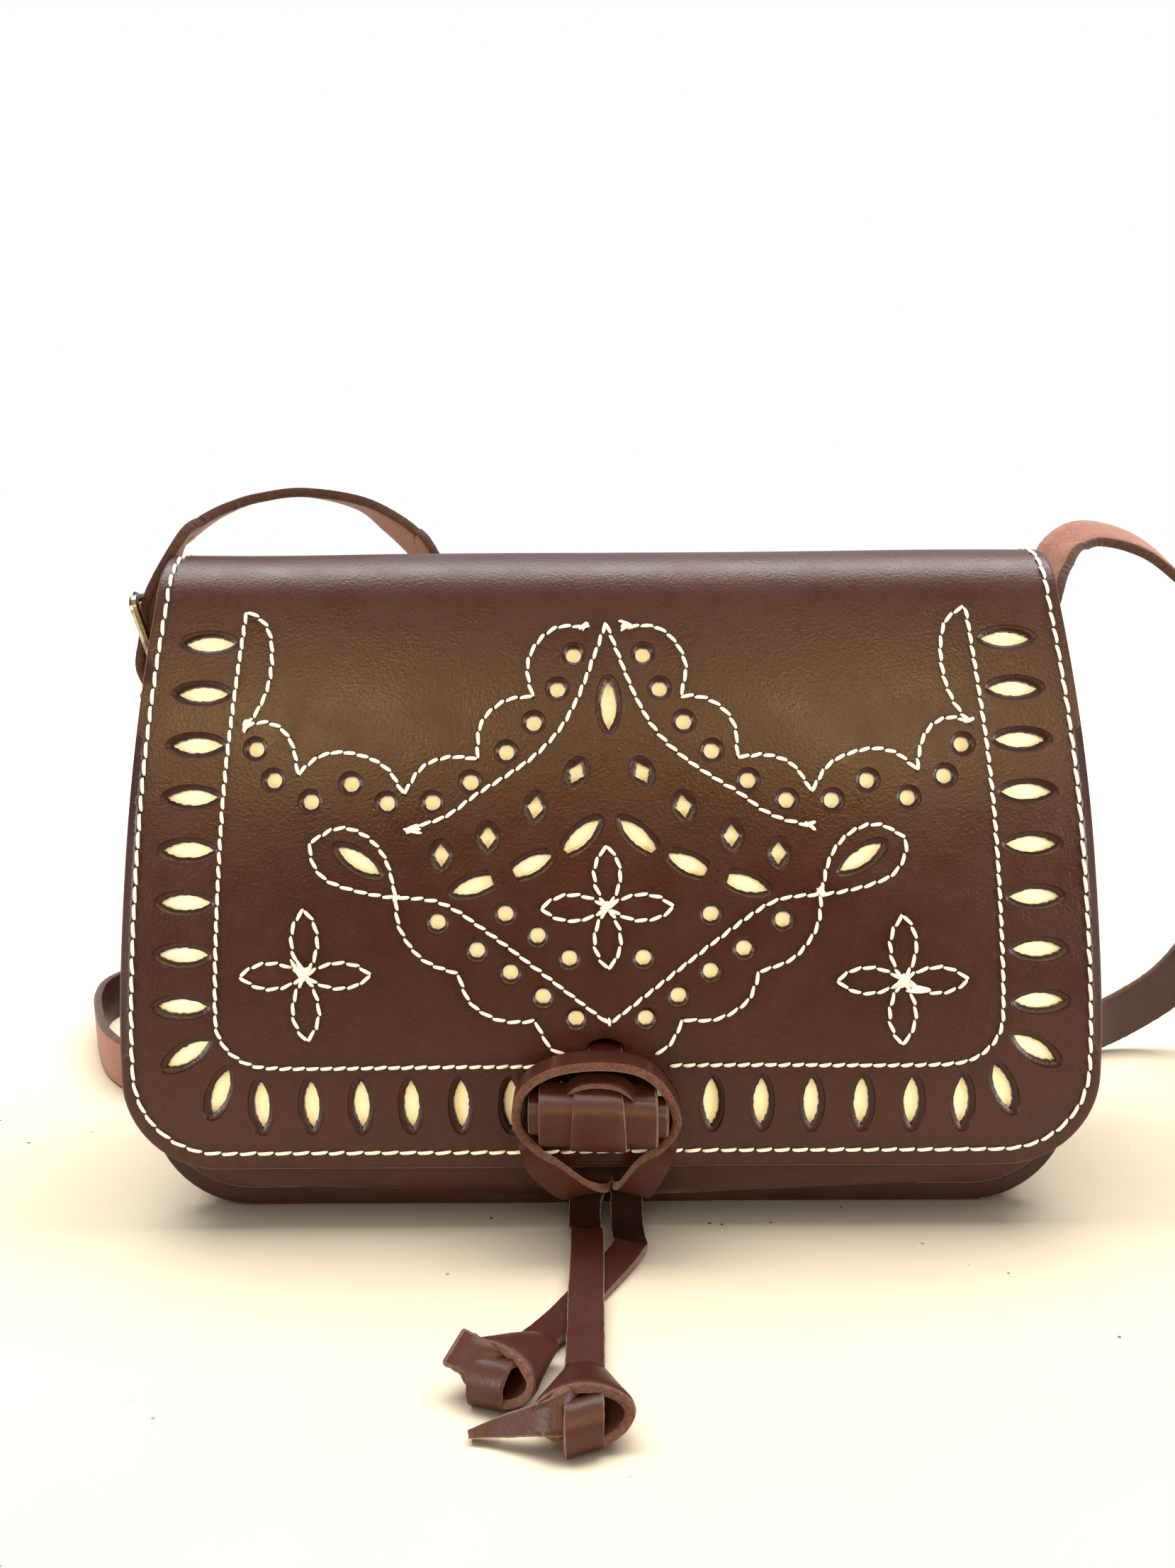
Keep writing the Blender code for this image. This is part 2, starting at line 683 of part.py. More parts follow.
# The thong's tails lie in front of the bag; the left one passes over the right one.
TAIL_LEFT = (
    (-4.2, -29.9, 5.6), (-4.2, -33.5, 5.4), (-4.8, -38.5, 3.8), (-6.0, -43.5, 2.2),
    (-6.6, -49, 2.4), (-6.6, -54, 3.4), (-6.5, -61, 3.9), (-6.5, -69, 4.0), (-6.5, -77, 3.8),
    (-6.5, -83, 3.2), (-6.5, -88, 3.2), (-6.5, -94.75, 3.9),
)
TAIL_RIGHT = (
    (4.2, -29.9, 5.6), (4.2, -33.5, 5.4), (4.4, -38.5, 3.6), (4.8, -43.5, 1.7),
    (4.4, -48.5, 1.2), (1.0, -55, 1.1), (-3.0, -61.5, 1.1), (-7.2, -68, 1.1),
    (-11.5, -74.5, 1.1), (-15.5, -80.5, 1.6), (-19.8, -87.05, 3.4),
)
TAIL_RIGHT_ACROSS = (
    (1, 0, 0), (1, 0, 0), (1, 0, 0), (1, 0.1, 0), (0.95, -0.3, 0), (0.87, -0.5, 0),
    (0.84, -0.54, 0), (0.84, -0.54, 0), (0.84, -0.54, 0), (0.84, -0.54, 0), (0.84, -0.54, 0),
)
KNOT_LEFT = (-6.8, -104, 6.8)
KNOT_RIGHT = (-24.6, -94.6, 6.8)
KNOT_SIZE = (18.5, 19, 13)
KNOT_CAGE = 1.19


def make_knot(name, centre, size, turn, parts, brown):
    """Soft outer shape of an overhand knot: a cube cage rounded by subdivision."""
    reach = Vector(size) * MM * KNOT_CAGE / 2
    obj = box(name, -reach, reach, parts)
    obj.data.materials.append(brown)
    obj.location = [c * MM for c in centre]
    obj.rotation_euler = (0, 0, math.radians(turn))
    subdivision = obj.modifiers.new("soft", "SUBSURF")
    subdivision.levels = 3
    subdivision.render_levels = 3
    obj.data.shade_smooth()
    return obj


def make_tails(parts, brown):
    steps = 3
    left = [[c * MM for c in p] for p in TAIL_LEFT]
    right = [[c * MM for c in p] for p in TAIL_RIGHT]
    strip("tail_left", left, [(1, 0, 0)] * len(left), THONG_WIDTH, THONG_THICK, steps, parts, brown)
    strip("tail_right", right, TAIL_RIGHT_ACROSS, THONG_WIDTH, THONG_THICK, steps, parts, brown)
    make_knot("knot_left", KNOT_LEFT, KNOT_SIZE, 0, parts, brown)
    make_knot("knot_right", KNOT_RIGHT, KNOT_SIZE, -35, parts, brown)


# Shoulder strap and fittings

def side_matrix(sign):
    """Frame on one side wall: local X across the strap (+Y), Y up the wall, Z outward."""
    along = Vector((sign * math.sin(FLARE), 0, math.cos(FLARE)))
    out = Vector((sign * math.cos(FLARE), 0, -math.sin(FLARE)))
    across = along.cross(out)
    base = Vector((sign * BODY_HALF_WIDTH, SIDE_Y, FLARE_START))
    rows = zip(across, along, out, base)
    return Matrix([*(list(r) for r in rows), [0, 0, 0, 1]])


LEFT = side_matrix(-1)
RIGHT = side_matrix(1)

BAR_N = GAP + CHAPE_THICK + GAP + BUCKLE_ROD
FOLD_RADIUS = BUCKLE_ROD + GAP + CHAPE_THICK / 2
CHAPE_INNER_N = GAP + CHAPE_THICK / 2
CHAPE_OUTER_N = CHAPE_INNER_N + CHAPE_THICK + GAP
KEEPER_INNER_N = GAP + CHAPE_THICK + GAP + KEEPER_THICK / 2
CHAPE_KEPT_N = KEEPER_INNER_N + KEEPER_THICK / 2 + GAP + CHAPE_THICK / 2
STRAP_KEPT_N = CHAPE_KEPT_N + CHAPE_THICK / 2 + GAP + STRAP_THICK / 2
STRAP_BAR_N = BAR_N + FOLD_RADIUS + CHAPE_THICK / 2 + GAP + STRAP_THICK / 2
KEEPER_OUTER_N = STRAP_KEPT_N + STRAP_THICK / 2 + GAP + KEEPER_THICK / 2
FAR_BAR_N = BAR_N + BUCKLE_LENGTH * math.sin(BUCKLE_TILT)
FAR_BAR_S = BUCKLE_BAR_S + BUCKLE_LENGTH * math.cos(BUCKLE_TILT)
STRAP_FAR_N = FAR_BAR_N - BUCKLE_ROD - 2 * GAP - STRAP_THICK / 2


def in_plane_strip(name, points, width, thick, matrix, parts, material):
    """Strap piece whose route stays in the plane of one side's S and N directions."""
    bm = bmesh.new()
    rows = []
    for s, n in points:
        rows.append([bm.verts.new((-width / 2, s, n)), bm.verts.new((width / 2, s, n))])
    for first, second in zip(rows, rows[1:]):
        bm.faces.new((first[0], first[1], second[1], second[0]))
    mesh = bpy.data.meshes.new(name)
    bm.to_mesh(mesh)
    bm.free()
    obj = add_object(name, mesh, parts, material)
    obj.matrix_world = matrix
    solid = obj.modifiers.new("thickness", "SOLIDIFY")
    solid.thickness = thick
    solid.offset = 0
    solid.use_even_offset = True
    shade_smooth(obj)
    return obj


def make_chape(parts, cutters, brown):
    """Leather tab folded round the buckle's bar, slotted for the prong, riveted to the side."""
    bottom = BUCKLE_BAR_S - CHAPE_LENGTH
    points = [(bottom, CHAPE_INNER_N), (BUCKLE_BAR_S - 6 * MM, CHAPE_INNER_N)]
    for i in range(13):
        angle = math.radians(-90 + 15 * i)
        points.append((BUCKLE_BAR_S + FOLD_RADIUS * math.cos(angle),
                       BAR_N + FOLD_RADIUS * math.sin(angle)))
    keeper_s = BUCKLE_BAR_S - KEEPER_DROP
    points += [(keeper_s + KEEPER_WIDTH / 2 + GAP, CHAPE_KEPT_N),
               (keeper_s - KEEPER_WIDTH / 2 - GAP, CHAPE_KEPT_N),
               (keeper_s - KEEPER_WIDTH / 2 - 3 * MM, CHAPE_OUTER_N), (bottom, CHAPE_OUTER_N)]
    obj = in_plane_strip("buckle_chape", points, CHAPE_WIDTH, CHAPE_THICK, LEFT, parts, brown)
    half = PRONG_THICK / 2 + GAP
    slot_low = (-half, BUCKLE_BAR_S - PRONG_EYE - GAP, -GAP)
    slot_high = (half, BUCKLE_BAR_S + 2 * FOLD_RADIUS, BAR_N + 2 * FOLD_RADIUS)
    slot = box("chape_slot", slot_low, slot_high, cutters)
    slot.matrix_world = LEFT
    cut(obj, slot, cutters)
    return obj


def make_keeper(parts, brown):
    """Closed leather ring that holds the strap's end against the tab."""
    half_in = STRAP_WIDTH / 2 + GAP + KEEPER_THICK / 2
    low, high = KEEPER_INNER_N, KEEPER_OUTER_N
    corner = 0.9 * MM
    ring = []
    for a, b, start in ((1, low, -90), (1, high, 0), (-1, high, 90), (-1, low, 180)):
        centre = (a * (half_in - corner), b + (corner if b == low else -corner))
        ring += arc_points(centre, corner, start, start + 90, 3)
    bm = bmesh.new()
    rows = []
    s = BUCKLE_BAR_S - KEEPER_DROP
    for x, n in ring:
        rows.append([bm.verts.new((x, s - KEEPER_WIDTH / 2, n)),
                     bm.verts.new((x, s + KEEPER_WIDTH / 2, n))])
    for first, second in zip(rows, rows[1:] + rows[:1]):
        bm.faces.new((first[0], first[1], second[1], second[0]))
    bmesh.ops.recalc_face_normals(bm, faces=bm.faces)
    mesh = bpy.data.meshes.new("keeper")
    bm.to_mesh(mesh)
    bm.free()
    obj = add_object("keeper", mesh, parts, brown)
    obj.matrix_world = LEFT
    solid = obj.modifiers.new("thickness", "SOLIDIFY")
    solid.thickness = KEEPER_THICK
    solid.offset = 0
    solid.use_even_offset = True
    shade_smooth(obj)


def buckle_empty(parts):
    """Empty on the buckle's bar, with the frame's tilt; local X is the bar's axis."""
    empty = bpy.data.objects.new("buckle_axis", None)
    parts.objects.link(empty)
    tilt = Matrix.Rotation(BUCKLE_TILT, 4, "X")
    empty.matrix_world = LEFT @ Matrix.Translation((0, BUCKLE_BAR_S, BAR_N)) @ tilt
    return empty


def make_buckle(parts, metal):
    axis = buckle_empty(parts)
    curve = bpy.data.curves.new("buckle_frame", "CURVE")
    curve.dimensions = "3D"
    curve.bevel_depth = BUCKLE_ROD
    curve.bevel_resolution = 2
    corner = 3 * MM
    ring = []
    for a, b, start in ((1, 0, -90), (1, 1, 0), (-1, 1, 90), (-1, 0, 180)):
        centre = (a * (BUCKLE_HALF_WIDTH - corner),
                  b * BUCKLE_LENGTH + (corner if b == 0 else -corner))
        ring += arc_points(centre, corner, start, start + 90, 4)
    spline = curve.splines.new("POLY")
    spline.points.add(len(ring) - 1)
    for point, (x, y) in zip(spline.points, ring):
        point.co = (x, y, 0, 1)
    spline.use_cyclic_u = True
    frame = bpy.data.objects.new("buckle_frame", curve)
    parts.objects.link(frame)
    curve.materials.append(metal)
    frame.parent = axis

    tip = BUCKLE_LENGTH + 1.6 * MM
    rest = BUCKLE_ROD + GAP
    half = PRONG_THICK / 2
    outline = arc_points((0, 0), PRONG_EYE, 36, 356, 16)
    outline += [(BUCKLE_LENGTH - 3 * MM, rest),
                (tip, rest), (tip + half, rest + half), (tip, rest + 2 * half),
                (BUCKLE_LENGTH - 3 * MM, rest + 2 * half)]
    hole = arc_points((0, 0), BUCKLE_ROD + GAP, 0, 345, 23)
    mesh = flat_mesh(outline, [hole], PRONG_THICK, parts)
    upright = Matrix(((0, 0, 1, 0), (1, 0, 0, 0), (0, 1, 0, 0), (0, 0, 0, 1)))
    mesh.transform(upright)
    prong = add_object("buckle_prong", mesh, parts, metal)
    prong.parent = axis
    shade_smooth(prong)


def strap_route():
    """The strap's centre line and its width direction, from its buckled end to its right end."""
    buckled = [
        (BUCKLE_BAR_S - 17 * MM, STRAP_KEPT_N), (BUCKLE_BAR_S - 12 * MM, STRAP_KEPT_N),
        (BUCKLE_BAR_S - 7 * MM, STRAP_KEPT_N), (BUCKLE_BAR_S - 1 * MM, STRAP_BAR_N + 0.1 * MM),
        (BUCKLE_BAR_S + PRONG_CROSSING, (STRAP_BAR_N + STRAP_FAR_N) / 2 + 0.4 * MM),
        (FAR_BAR_S, STRAP_FAR_N),
    ]
    route = [LEFT @ Vector((0, s, n)) for s, n in buckled]
    across = [Vector((0, 1, 0))] * len(buckled)
    for side, (x, y, z), width in STRAP_FREE:
        route.append(Vector((side * BODY_HALF_WIDTH + x * MM, y * MM, z * MM)))
        across.append(Vector(width))
    end_n = GAP + STRAP_THICK / 2
    lower, upper = END_RIVETS_S
    for s, lift in ((upper + 7 * MM, 0.7 * MM), (upper, 0), (lower, 0), (lower - 8 * MM, 0)):
        route.append(RIGHT @ Vector((0, s, end_n + lift)))
        across.append(Vector((0, 1, 0)))
    return route, across


STRAP_FREE = (
    (-1, (-1.6, 19.4, 165.2), (-0.18, 1, 0.05)),
    (-1, (1.8, 24.4, 170.1), (-0.12, 1, 0.06)),
    (-1, (8.6, 30.4, 175.2), (-0.06, 1, 0.1)),
    (-1, (17, 35.4, 178.6), (-0.06, 1, 0.08)),
    (-1, (28.6, 40.5, 180), (-0.05, 1, 0.02)),
    (-1, (42, 44.4, 177.4), (-0.12, 1, -0.1)),
    (-1, (50.5, 45, 172.3), (-0.25, 0.93, -0.25)),
    (-1, (57.9, 44.7, 166.2), (-0.32, 0.89, -0.32)),
    (-1, (62.4, 44, 160.2), (-0.35, 0.87, -0.33)),
    (-1, (75, 47.5, 134), (-0.25, 0.95, -0.15)),
    (-1, (83, 53, 104), (-0.1, 1, 0)),
    (-1, (85, 60, 72), (0, 1, 0)),
    (-1, (80, 67, 44), (0.05, 1, 0)),
    (-1, (65, 74, 22), (0.1, 1, -0.05)),
    (-1, (41, 80, 9), (0.1, 1, -0.15)),
    (-1, (15, 87, 5.6), (0.1, 0.93, -0.38)),
    (-1, (-11, 97, 7.4), (0.2, 0.65, -0.72)),
    (-1, (-35, 106, 8.1), (0, 0.1, -1)),
    (-1, (-54, 104, 8.1), (0, 0, -1)),
    (-1, (-62, 92, 8.1), (0, 0, -1)),
    (-1, (-60.5, 78, 8.1), (0, 0, -1)),
    (-1, (-54, 62, 8.1), (0, 0, -1)),
    (-1, (-45, 46, 8.1), (0, 0, -1)),
    (-1, (-33, 34.5, 8.1), (0, 0, -1)),
    (-1, (-20, 31.5, 8.1), (0, 0, -1)),
    (-1, (-4, 34.5, 8.1), (0, 0, -1)),
    (-1, (14, 37.5, 8.1), (0, 0.1, -1)),
    (0, (-50, 40.5, 7.8), (0, 0.6, -0.8)),
    (0, (0, 43.5, 5), (0, 1, 0)),
    (0, (50, 44, 7.8), (0, 0.6, 0.8)),
    (1, (-13, 45, 8.1), (0, 0.1, 1)),
    (1, (17, 48, 8.1), (0, 0, 1)),
    (1, (37, 54, 8.3), (-0.15, 0, 1)),
    (1, (53, 60, 10.5), (-0.35, 0, 0.94)),
    (1, (73, 61, 24), (-0.6, 0, 0.8)),
    (1, (87, 58, 48), (-0.85, 0.3, 0.45)),
    (1, (93, 53, 76), (-0.8, 0.6, 0.15)),
    (1, (88, 47, 104), (-0.4, 0.9, 0)),
    (1, (74, 41, 129), (-0.1, 1, 0)),
    (1, (58, 35, 146), (0.05, 0.97, 0.2)),
    (1, (45.6, 31, 156.3), (0.08, 0.95, 0.32)),
    (1, (34, 29.5, 164), (0.08, 0.95, 0.32)),
    (1, (21.4, 29.5, 167.2), (0.05, 0.95, 0.33)),
    (1, (13, 27, 163.8), (0, 0.95, 0.33)),
    (1, (8, 21.5, 156.5), (0, 1, 0.15)),
)


def make_strap(parts, cutters, brown):
    route, across = strap_route()

    def end_shape(share):
        return min(1.0, 0.45 + share * 38)

    obj = strip("strap", route, across, STRAP_WIDTH, STRAP_THICK, 4, parts, brown, end_shape)
    centre = LEFT @ Vector((0, BUCKLE_BAR_S + PRONG_CROSSING, STRAP_KEPT_N))
    points = smooth_route(route, 12)
    start = min(range(len(points)), key=lambda i: (points[i] - centre).length)
    lengths = [0.0]
    for first, second in zip(points, points[1:]):
        lengths.append(lengths[-1] + (second - first).length)
    sides = smooth_route(across, 12)
    for k in range(STRAP_HOLES):
        wanted = lengths[start] + (k - 1) * STRAP_HOLE_PITCH
        i = min(range(1, len(points) - 1), key=lambda j: abs(lengths[j] - wanted))
        along = (points[i + 1] - points[i - 1]).normalized()
        side = (sides[i] - along * sides[i].dot(along)).normalized()
        out = side.cross(along)
        rows = zip(side, along, out, points[i])
        matrix = Matrix([*(list(r) for r in rows), [0, 0, 0, 1]])
        stretch = PRONG_HOLE_LENGTH / STRAP_HOLE_WIDTH if k == 1 else 1.0
        hole = cylinder(f"strap_hole_{k + 1}", STRAP_HOLE_WIDTH / 2, 10 * MM, matrix, cutters,
                        16, stretch)
        cut(obj, hole, cutters)
    return obj


def make_rivet(name, matrix, s, grip, parts, metal):
    """Turned rivet through the layers at height s: domed head outside, flat cap inside."""
    head_n = grip + GAP
    back_n = -GUSSET_THICK - GAP
    cap = 0.8 * MM
    profile = [(0, head_n + RIVET_DOME)]
    for i in range(1, 5):
        angle = math.radians(90 - 90 * i / 4)
        profile.append((RIVET_HEAD * math.cos(angle),
                        head_n + 0.3 * MM + (RIVET_DOME - 0.3 * MM) * math.sin(angle)))
    profile += [(RIVET_HEAD, head_n), (RIVET_SHANK, head_n), (RIVET_SHANK, back_n),
                (RIVET_HEAD, back_n), (RIVET_HEAD, back_n - cap), (0, back_n - cap)]
    bm = bmesh.new()
    verts = [bm.verts.new((radius, 0, n)) for radius, n in profile]
    for first, second in zip(verts, verts[1:]):
        bm.edges.new((first, second))
    mesh = bpy.data.meshes.new(name)
    bm.to_mesh(mesh)
    bm.free()
    obj = add_object(name, mesh, parts, metal)
    screw = obj.modifiers.new("turn", "SCREW")
    screw.angle = math.tau
    screw.steps = 20
    screw.render_steps = 20
    screw.use_merge_vertices = True
    screw.merge_threshold = 0.00005
    obj.matrix_world = matrix @ Matrix.Translation((0, s, 0))
    shade_smooth(obj)
    return obj


def rivet_hole(matrix, s, targets, cutters):
    place_at = matrix @ Matrix.Translation((0, s, 0))
    hole = cylinder("rivet_hole", RIVET_SHANK + GAP, 30 * MM, place_at, cutters, 20)
    for target in targets:
        cut(target, hole, cutters)


def main():
    clear_scene()
    parts = new_collection("leather_bag")
    cutters = new_collection("cutters")
    brown = leather("brown_leather", (0.105, 0.030, 0.020), 0.42)
    cream = leather("cream_leather", (0.85, 0.74, 0.54), 0.6)
    lining = leather("lining_leather", (0.17, 0.075, 0.045), 0.8)
    strap_brown = leather("strap_leather", (0.12, 0.036, 0.024), 0.5)
    metal = leather("aged_metal", (0.32, 0.27, 0.20), 0.35, 1.0)

    make_back_panel(parts, brown)
    make_front_panel(parts, brown)
    make_front_welt(parts, brown)
    gusset = make_gusset(parts, brown)
    make_flap(parts, brown, cream, lining)
    make_toggle(parts, brown)
    make_loop(parts, brown)
    make_tails(parts, brown)
    strap = make_strap(parts, cutters, strap_brown)
    chape = make_chape(parts, cutters, strap_brown)
    make_keeper(parts, strap_brown)
    make_buckle(parts, metal)

    chape_s = BUCKLE_BAR_S - CHAPE_RIVET_DROP
    rivet_hole(LEFT, chape_s, [gusset, chape], cutters)
    make_rivet("chape_rivet", LEFT, chape_s, CHAPE_OUTER_N + CHAPE_THICK / 2, parts, metal)
    for name, s in zip(("strap_rivet_lower", "strap_rivet_upper"), END_RIVETS_S):
        rivet_hole(RIGHT, s, [gusset, strap], cutters)
        make_rivet(name, RIGHT, s, GAP + STRAP_THICK, parts, metal)


main()
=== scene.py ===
"""Looks of a small leather shoulder bag: pierced and stitched flap, rolled toggle, thong, strap.

Metres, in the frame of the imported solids: the origin is the middle of the base, the front
faces -Y and +Z is up. Flat leather pieces are drawn as patterns (u, v, w): u to the right,
v up the leather from the flap's lower edge, w the depth behind the flap's outer face.
"""
import math
import random

import bmesh
import bpy
from mathutils import Matrix, Vector, noise
from mathutils.geometry import delaunay_2d_cdt
from mathutils.kdtree import KDTree

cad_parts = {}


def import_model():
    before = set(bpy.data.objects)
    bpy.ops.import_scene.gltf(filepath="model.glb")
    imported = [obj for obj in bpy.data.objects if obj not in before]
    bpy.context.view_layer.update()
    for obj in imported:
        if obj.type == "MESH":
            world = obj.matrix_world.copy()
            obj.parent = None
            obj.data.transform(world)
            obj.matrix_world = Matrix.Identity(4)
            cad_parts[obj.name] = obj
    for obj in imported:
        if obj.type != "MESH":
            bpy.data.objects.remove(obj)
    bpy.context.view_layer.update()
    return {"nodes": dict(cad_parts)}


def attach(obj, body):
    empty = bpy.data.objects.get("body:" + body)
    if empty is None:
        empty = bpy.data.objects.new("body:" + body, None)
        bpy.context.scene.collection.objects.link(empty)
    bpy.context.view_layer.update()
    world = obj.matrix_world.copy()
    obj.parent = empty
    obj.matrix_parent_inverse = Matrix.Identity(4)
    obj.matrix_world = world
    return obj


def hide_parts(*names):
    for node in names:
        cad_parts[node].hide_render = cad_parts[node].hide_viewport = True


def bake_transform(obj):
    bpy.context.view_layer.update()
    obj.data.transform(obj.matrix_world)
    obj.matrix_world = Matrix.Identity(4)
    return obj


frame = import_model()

MM = 0.001
GAP = 0.3 * MM

# Body, as in the solids
BODY_DEPTH = 62 * MM
BODY_HALF_WIDTH = 113 * MM
BODY_CORNER = 24 * MM
BODY_HEIGHT = 150 * MM
FLARE_START = 100 * MM
FLARE = math.radians(3.5)
PANEL_THICK = 2.0 * MM
GUSSET_THICK = 2.0 * MM
PANEL_OVERHANG = 2.0 * MM
PANEL_LIFT = 4.0 * MM
FRONT_PANEL_TOP = 104 * MM
FRONT_PANEL_DIP = 5 * MM
WELT_THICK = 2.0 * MM
WELT_PROUD = 3.5 * MM
WELT_WIDTH = 9.0 * MM
WELT_LIFT = 0.3 * MM

# Flap
FLAP_HALF_WIDTH = 120 * MM
FLAP_TAPER = 7.7 * MM
TAPER_START = 30 * MM
FLAP_CORNER = 23 * MM
FLAP_BOTTOM_Z = 16 * MM
OUTER_THICK = 2.0 * MM
INLAY_THICK = 0.8 * MM
LINING_THICK = 1.0 * MM
TAB_THICK = 1.5 * MM
INLAY_INSET = 5 * MM
INLAY_TOP = 139 * MM
LINING_TOP = 150 * MM
LOW_RUN = 80 * MM
HIGH_RUN = 60 * MM
LEAN_BOTTOM = math.radians(3.3)
LEAN_MIDDLE = math.radians(12)
LEAN_TOP = math.radians(26)

# Cut-outs
LEAF_LENGTH = 12.6 * MM
LEAF_WIDTH = 4.0 * MM
HOLE_DIAMETER = 4.0 * MM
DIAMOND_LENGTH = 6.2 * MM
DIAMOND_WIDTH = 4.2 * MM
BORDER_INSET = 15.0 * MM
COLUMN_COUNT = 8
COLUMN_START = 40 * MM
COLUMN_PITCH = 12.8 * MM
ROW_COUNT = 15
ROW_PITCH = 12.3 * MM
CORNER_LEAVES = 2
CORNER_BOW = 12 * MM
PRESS_DEPTH = 0.95 * MM
PRESS_MARGIN = 1.3 * MM

# Toggle and thong
TOGGLE_U = -3.3 * MM
TOGGLE_V = 15.8 * MM
ROLL_RADII = (4.6 * MM, 7.0 * MM, 7.9 * MM)
ROLL_HALF_LENGTHS = (16.6 * MM, 14 * MM, 6 * MM)
NECK_WIDTH = 8.5 * MM
ROLL_FACING = math.radians(-13)
TOGGLE_TILT = 0.04
NECK_THICK = 1.8 * MM
NECK_SUNK = 0.6 * MM
SLIT_U = -1.5 * MM
SLIT_V = 28.7 * MM
TAB_DROP = 11 * MM
THONG_WIDTH = 7.5 * MM
THONG_THICK = 1.8 * MM
LOOP_WIDTH = 9.0 * MM
SLOT_V = -8.9 * MM
LOOP_SLOT_V = -7.5 * MM
LEG_SPREAD = 8.4 * MM

# Strap and fittings
STRAP_WIDTH = 15 * MM
STRAP_THICK = 2.5 * MM
SIDE_Y = 17 * MM
STRAP_HOLES = 5
STRAP_HOLE_PITCH = 14.5 * MM
STRAP_HOLE_WIDTH = 3.0 * MM
PRONG_HOLE_LENGTH = 9.5 * MM
BUCKLE_BAR_S = 36 * MM
BUCKLE_LENGTH = 17 * MM
BUCKLE_ROD = 1.3 * MM
BUCKLE_TILT = math.radians(12)
CHAPE_WIDTH = 14 * MM
CHAPE_THICK = 1.8 * MM
CHAPE_LENGTH = 28 * MM
KEEPER_WIDTH = 6 * MM
KEEPER_THICK = 1.2 * MM
KEEPER_DROP = 11 * MM
PRONG_CROSSING = 6.5 * MM
END_RIVETS_S = (29 * MM, 43 * MM)

# Worked out from the sizes above
BACK_Y = BODY_DEPTH / 2
INLAY_W = OUTER_THICK + GAP
LINING_W = INLAY_W + INLAY_THICK + GAP
TAB_W = LINING_W + LINING_THICK + GAP
PANEL_W = TAB_W + TAB_THICK + GAP
WELT_W = PANEL_W + PANEL_THICK + GAP
GUSSET_W = WELT_W + WELT_THICK + GAP
FLAP_FRONT_Y = -BODY_DEPTH / 2 - PANEL_W
DROP = LOW_RUN + HIGH_RUN

# Camera, fitted to the photograph's straight edges
FRAME_HEIGHT_PX = 2212
FOCAL_PX = 1662
CAMERA_PLACE = (-5.3 * MM, -303 * MM, 167.5 * MM)
CAMERA_PITCH = math.radians(11.9)
CAMERA_ROLL = math.radians(0.43)


# The leather's side view and the places of flat patterns on it

def arc_end(start, run, lean_from, lean_to):
    """End point (y, z) of an arc of the side view that turns from one lean to another."""
    radius = run / (lean_to - lean_from)
    y = start[0] + radius * (math.cos(lean_from) - math.cos(lean_to))
    z = start[1] + radius * (math.sin(lean_to) - math.sin(lean_from))
    return y, z


MIDDLE_YZ = arc_end((FLAP_FRONT_Y, FLAP_BOTTOM_Z), LOW_RUN, LEAN_BOTTOM, LEAN_MIDDLE)
TOP_YZ = arc_end(MIDDLE_YZ, HIGH_RUN, LEAN_MIDDLE, LEAN_TOP)
RIDGE_RADIUS = (BACK_Y - TOP_YZ[0]) / (math.cos(LEAN_TOP) + 1)
RIDGE_RUN = RIDGE_RADIUS * (math.pi - LEAN_TOP)
FLAP_LENGTH = DROP + RIDGE_RUN
HINGE_Z = TOP_YZ[1] - RIDGE_RADIUS * math.sin(LEAN_TOP)
LEATHER_END = FLAP_LENGTH + HINGE_Z - WELT_LIFT


def side_view(v):
    """(y, z, lean) of the leather's outer face at v, straight before and after its bends."""
    if v <= 0:
        y = FLAP_FRONT_Y + v * math.sin(LEAN_BOTTOM)
        return y, FLAP_BOTTOM_Z + v * math.cos(LEAN_BOTTOM), LEAN_BOTTOM
    if v <= LOW_RUN:
        lean = LEAN_BOTTOM + (LEAN_MIDDLE - LEAN_BOTTOM) * v / LOW_RUN
        y, z = arc_end((FLAP_FRONT_Y, FLAP_BOTTOM_Z), v, LEAN_BOTTOM, lean)
        return y, z, lean
    if v <= DROP:
        lean = LEAN_MIDDLE + (LEAN_TOP - LEAN_MIDDLE) * (v - LOW_RUN) / HIGH_RUN
        y, z = arc_end(MIDDLE_YZ, v - LOW_RUN, LEAN_MIDDLE, lean)
        return y, z, lean
    if v <= FLAP_LENGTH:
        lean = LEAN_TOP + (v - DROP) / RIDGE_RADIUS
        y, z = arc_end(TOP_YZ, v - DROP, LEAN_TOP, lean)
        return y, z, lean
    return BACK_Y, HINGE_Z - (v - FLAP_LENGTH), math.pi


SWELL_SCALE = 1 / (55 * MM)
SWELL = 0.45 * MM


def swell(u, v):
    """Slow unevenness of the leather, the same for every layer."""
    return SWELL * noise.noise(Vector((u, v, 0)) * SWELL_SCALE)


def place(u, v, w):
    """World point of the flat pattern's point (u, v, w)."""
    y, z, lean = side_view(v)
    depth = w + swell(u, v)
    return Vector((u, y + depth * math.cos(lean), z - depth * math.sin(lean)))


def depth_direction(v):
    lean = side_view(v)[2]
    return Vector((0, math.cos(lean), -math.sin(lean)))


def front_y(z, w):
    """y of the bent front at height z and depth w, found by halving."""
    low, high = -FLAP_BOTTOM_Z * 2, DROP
    for _ in range(40):
        middle = (low + high) / 2
        if place(0, middle, w).z < z:
            low = middle
        else:
            high = middle
    return place(0, low, w).y


# Materials

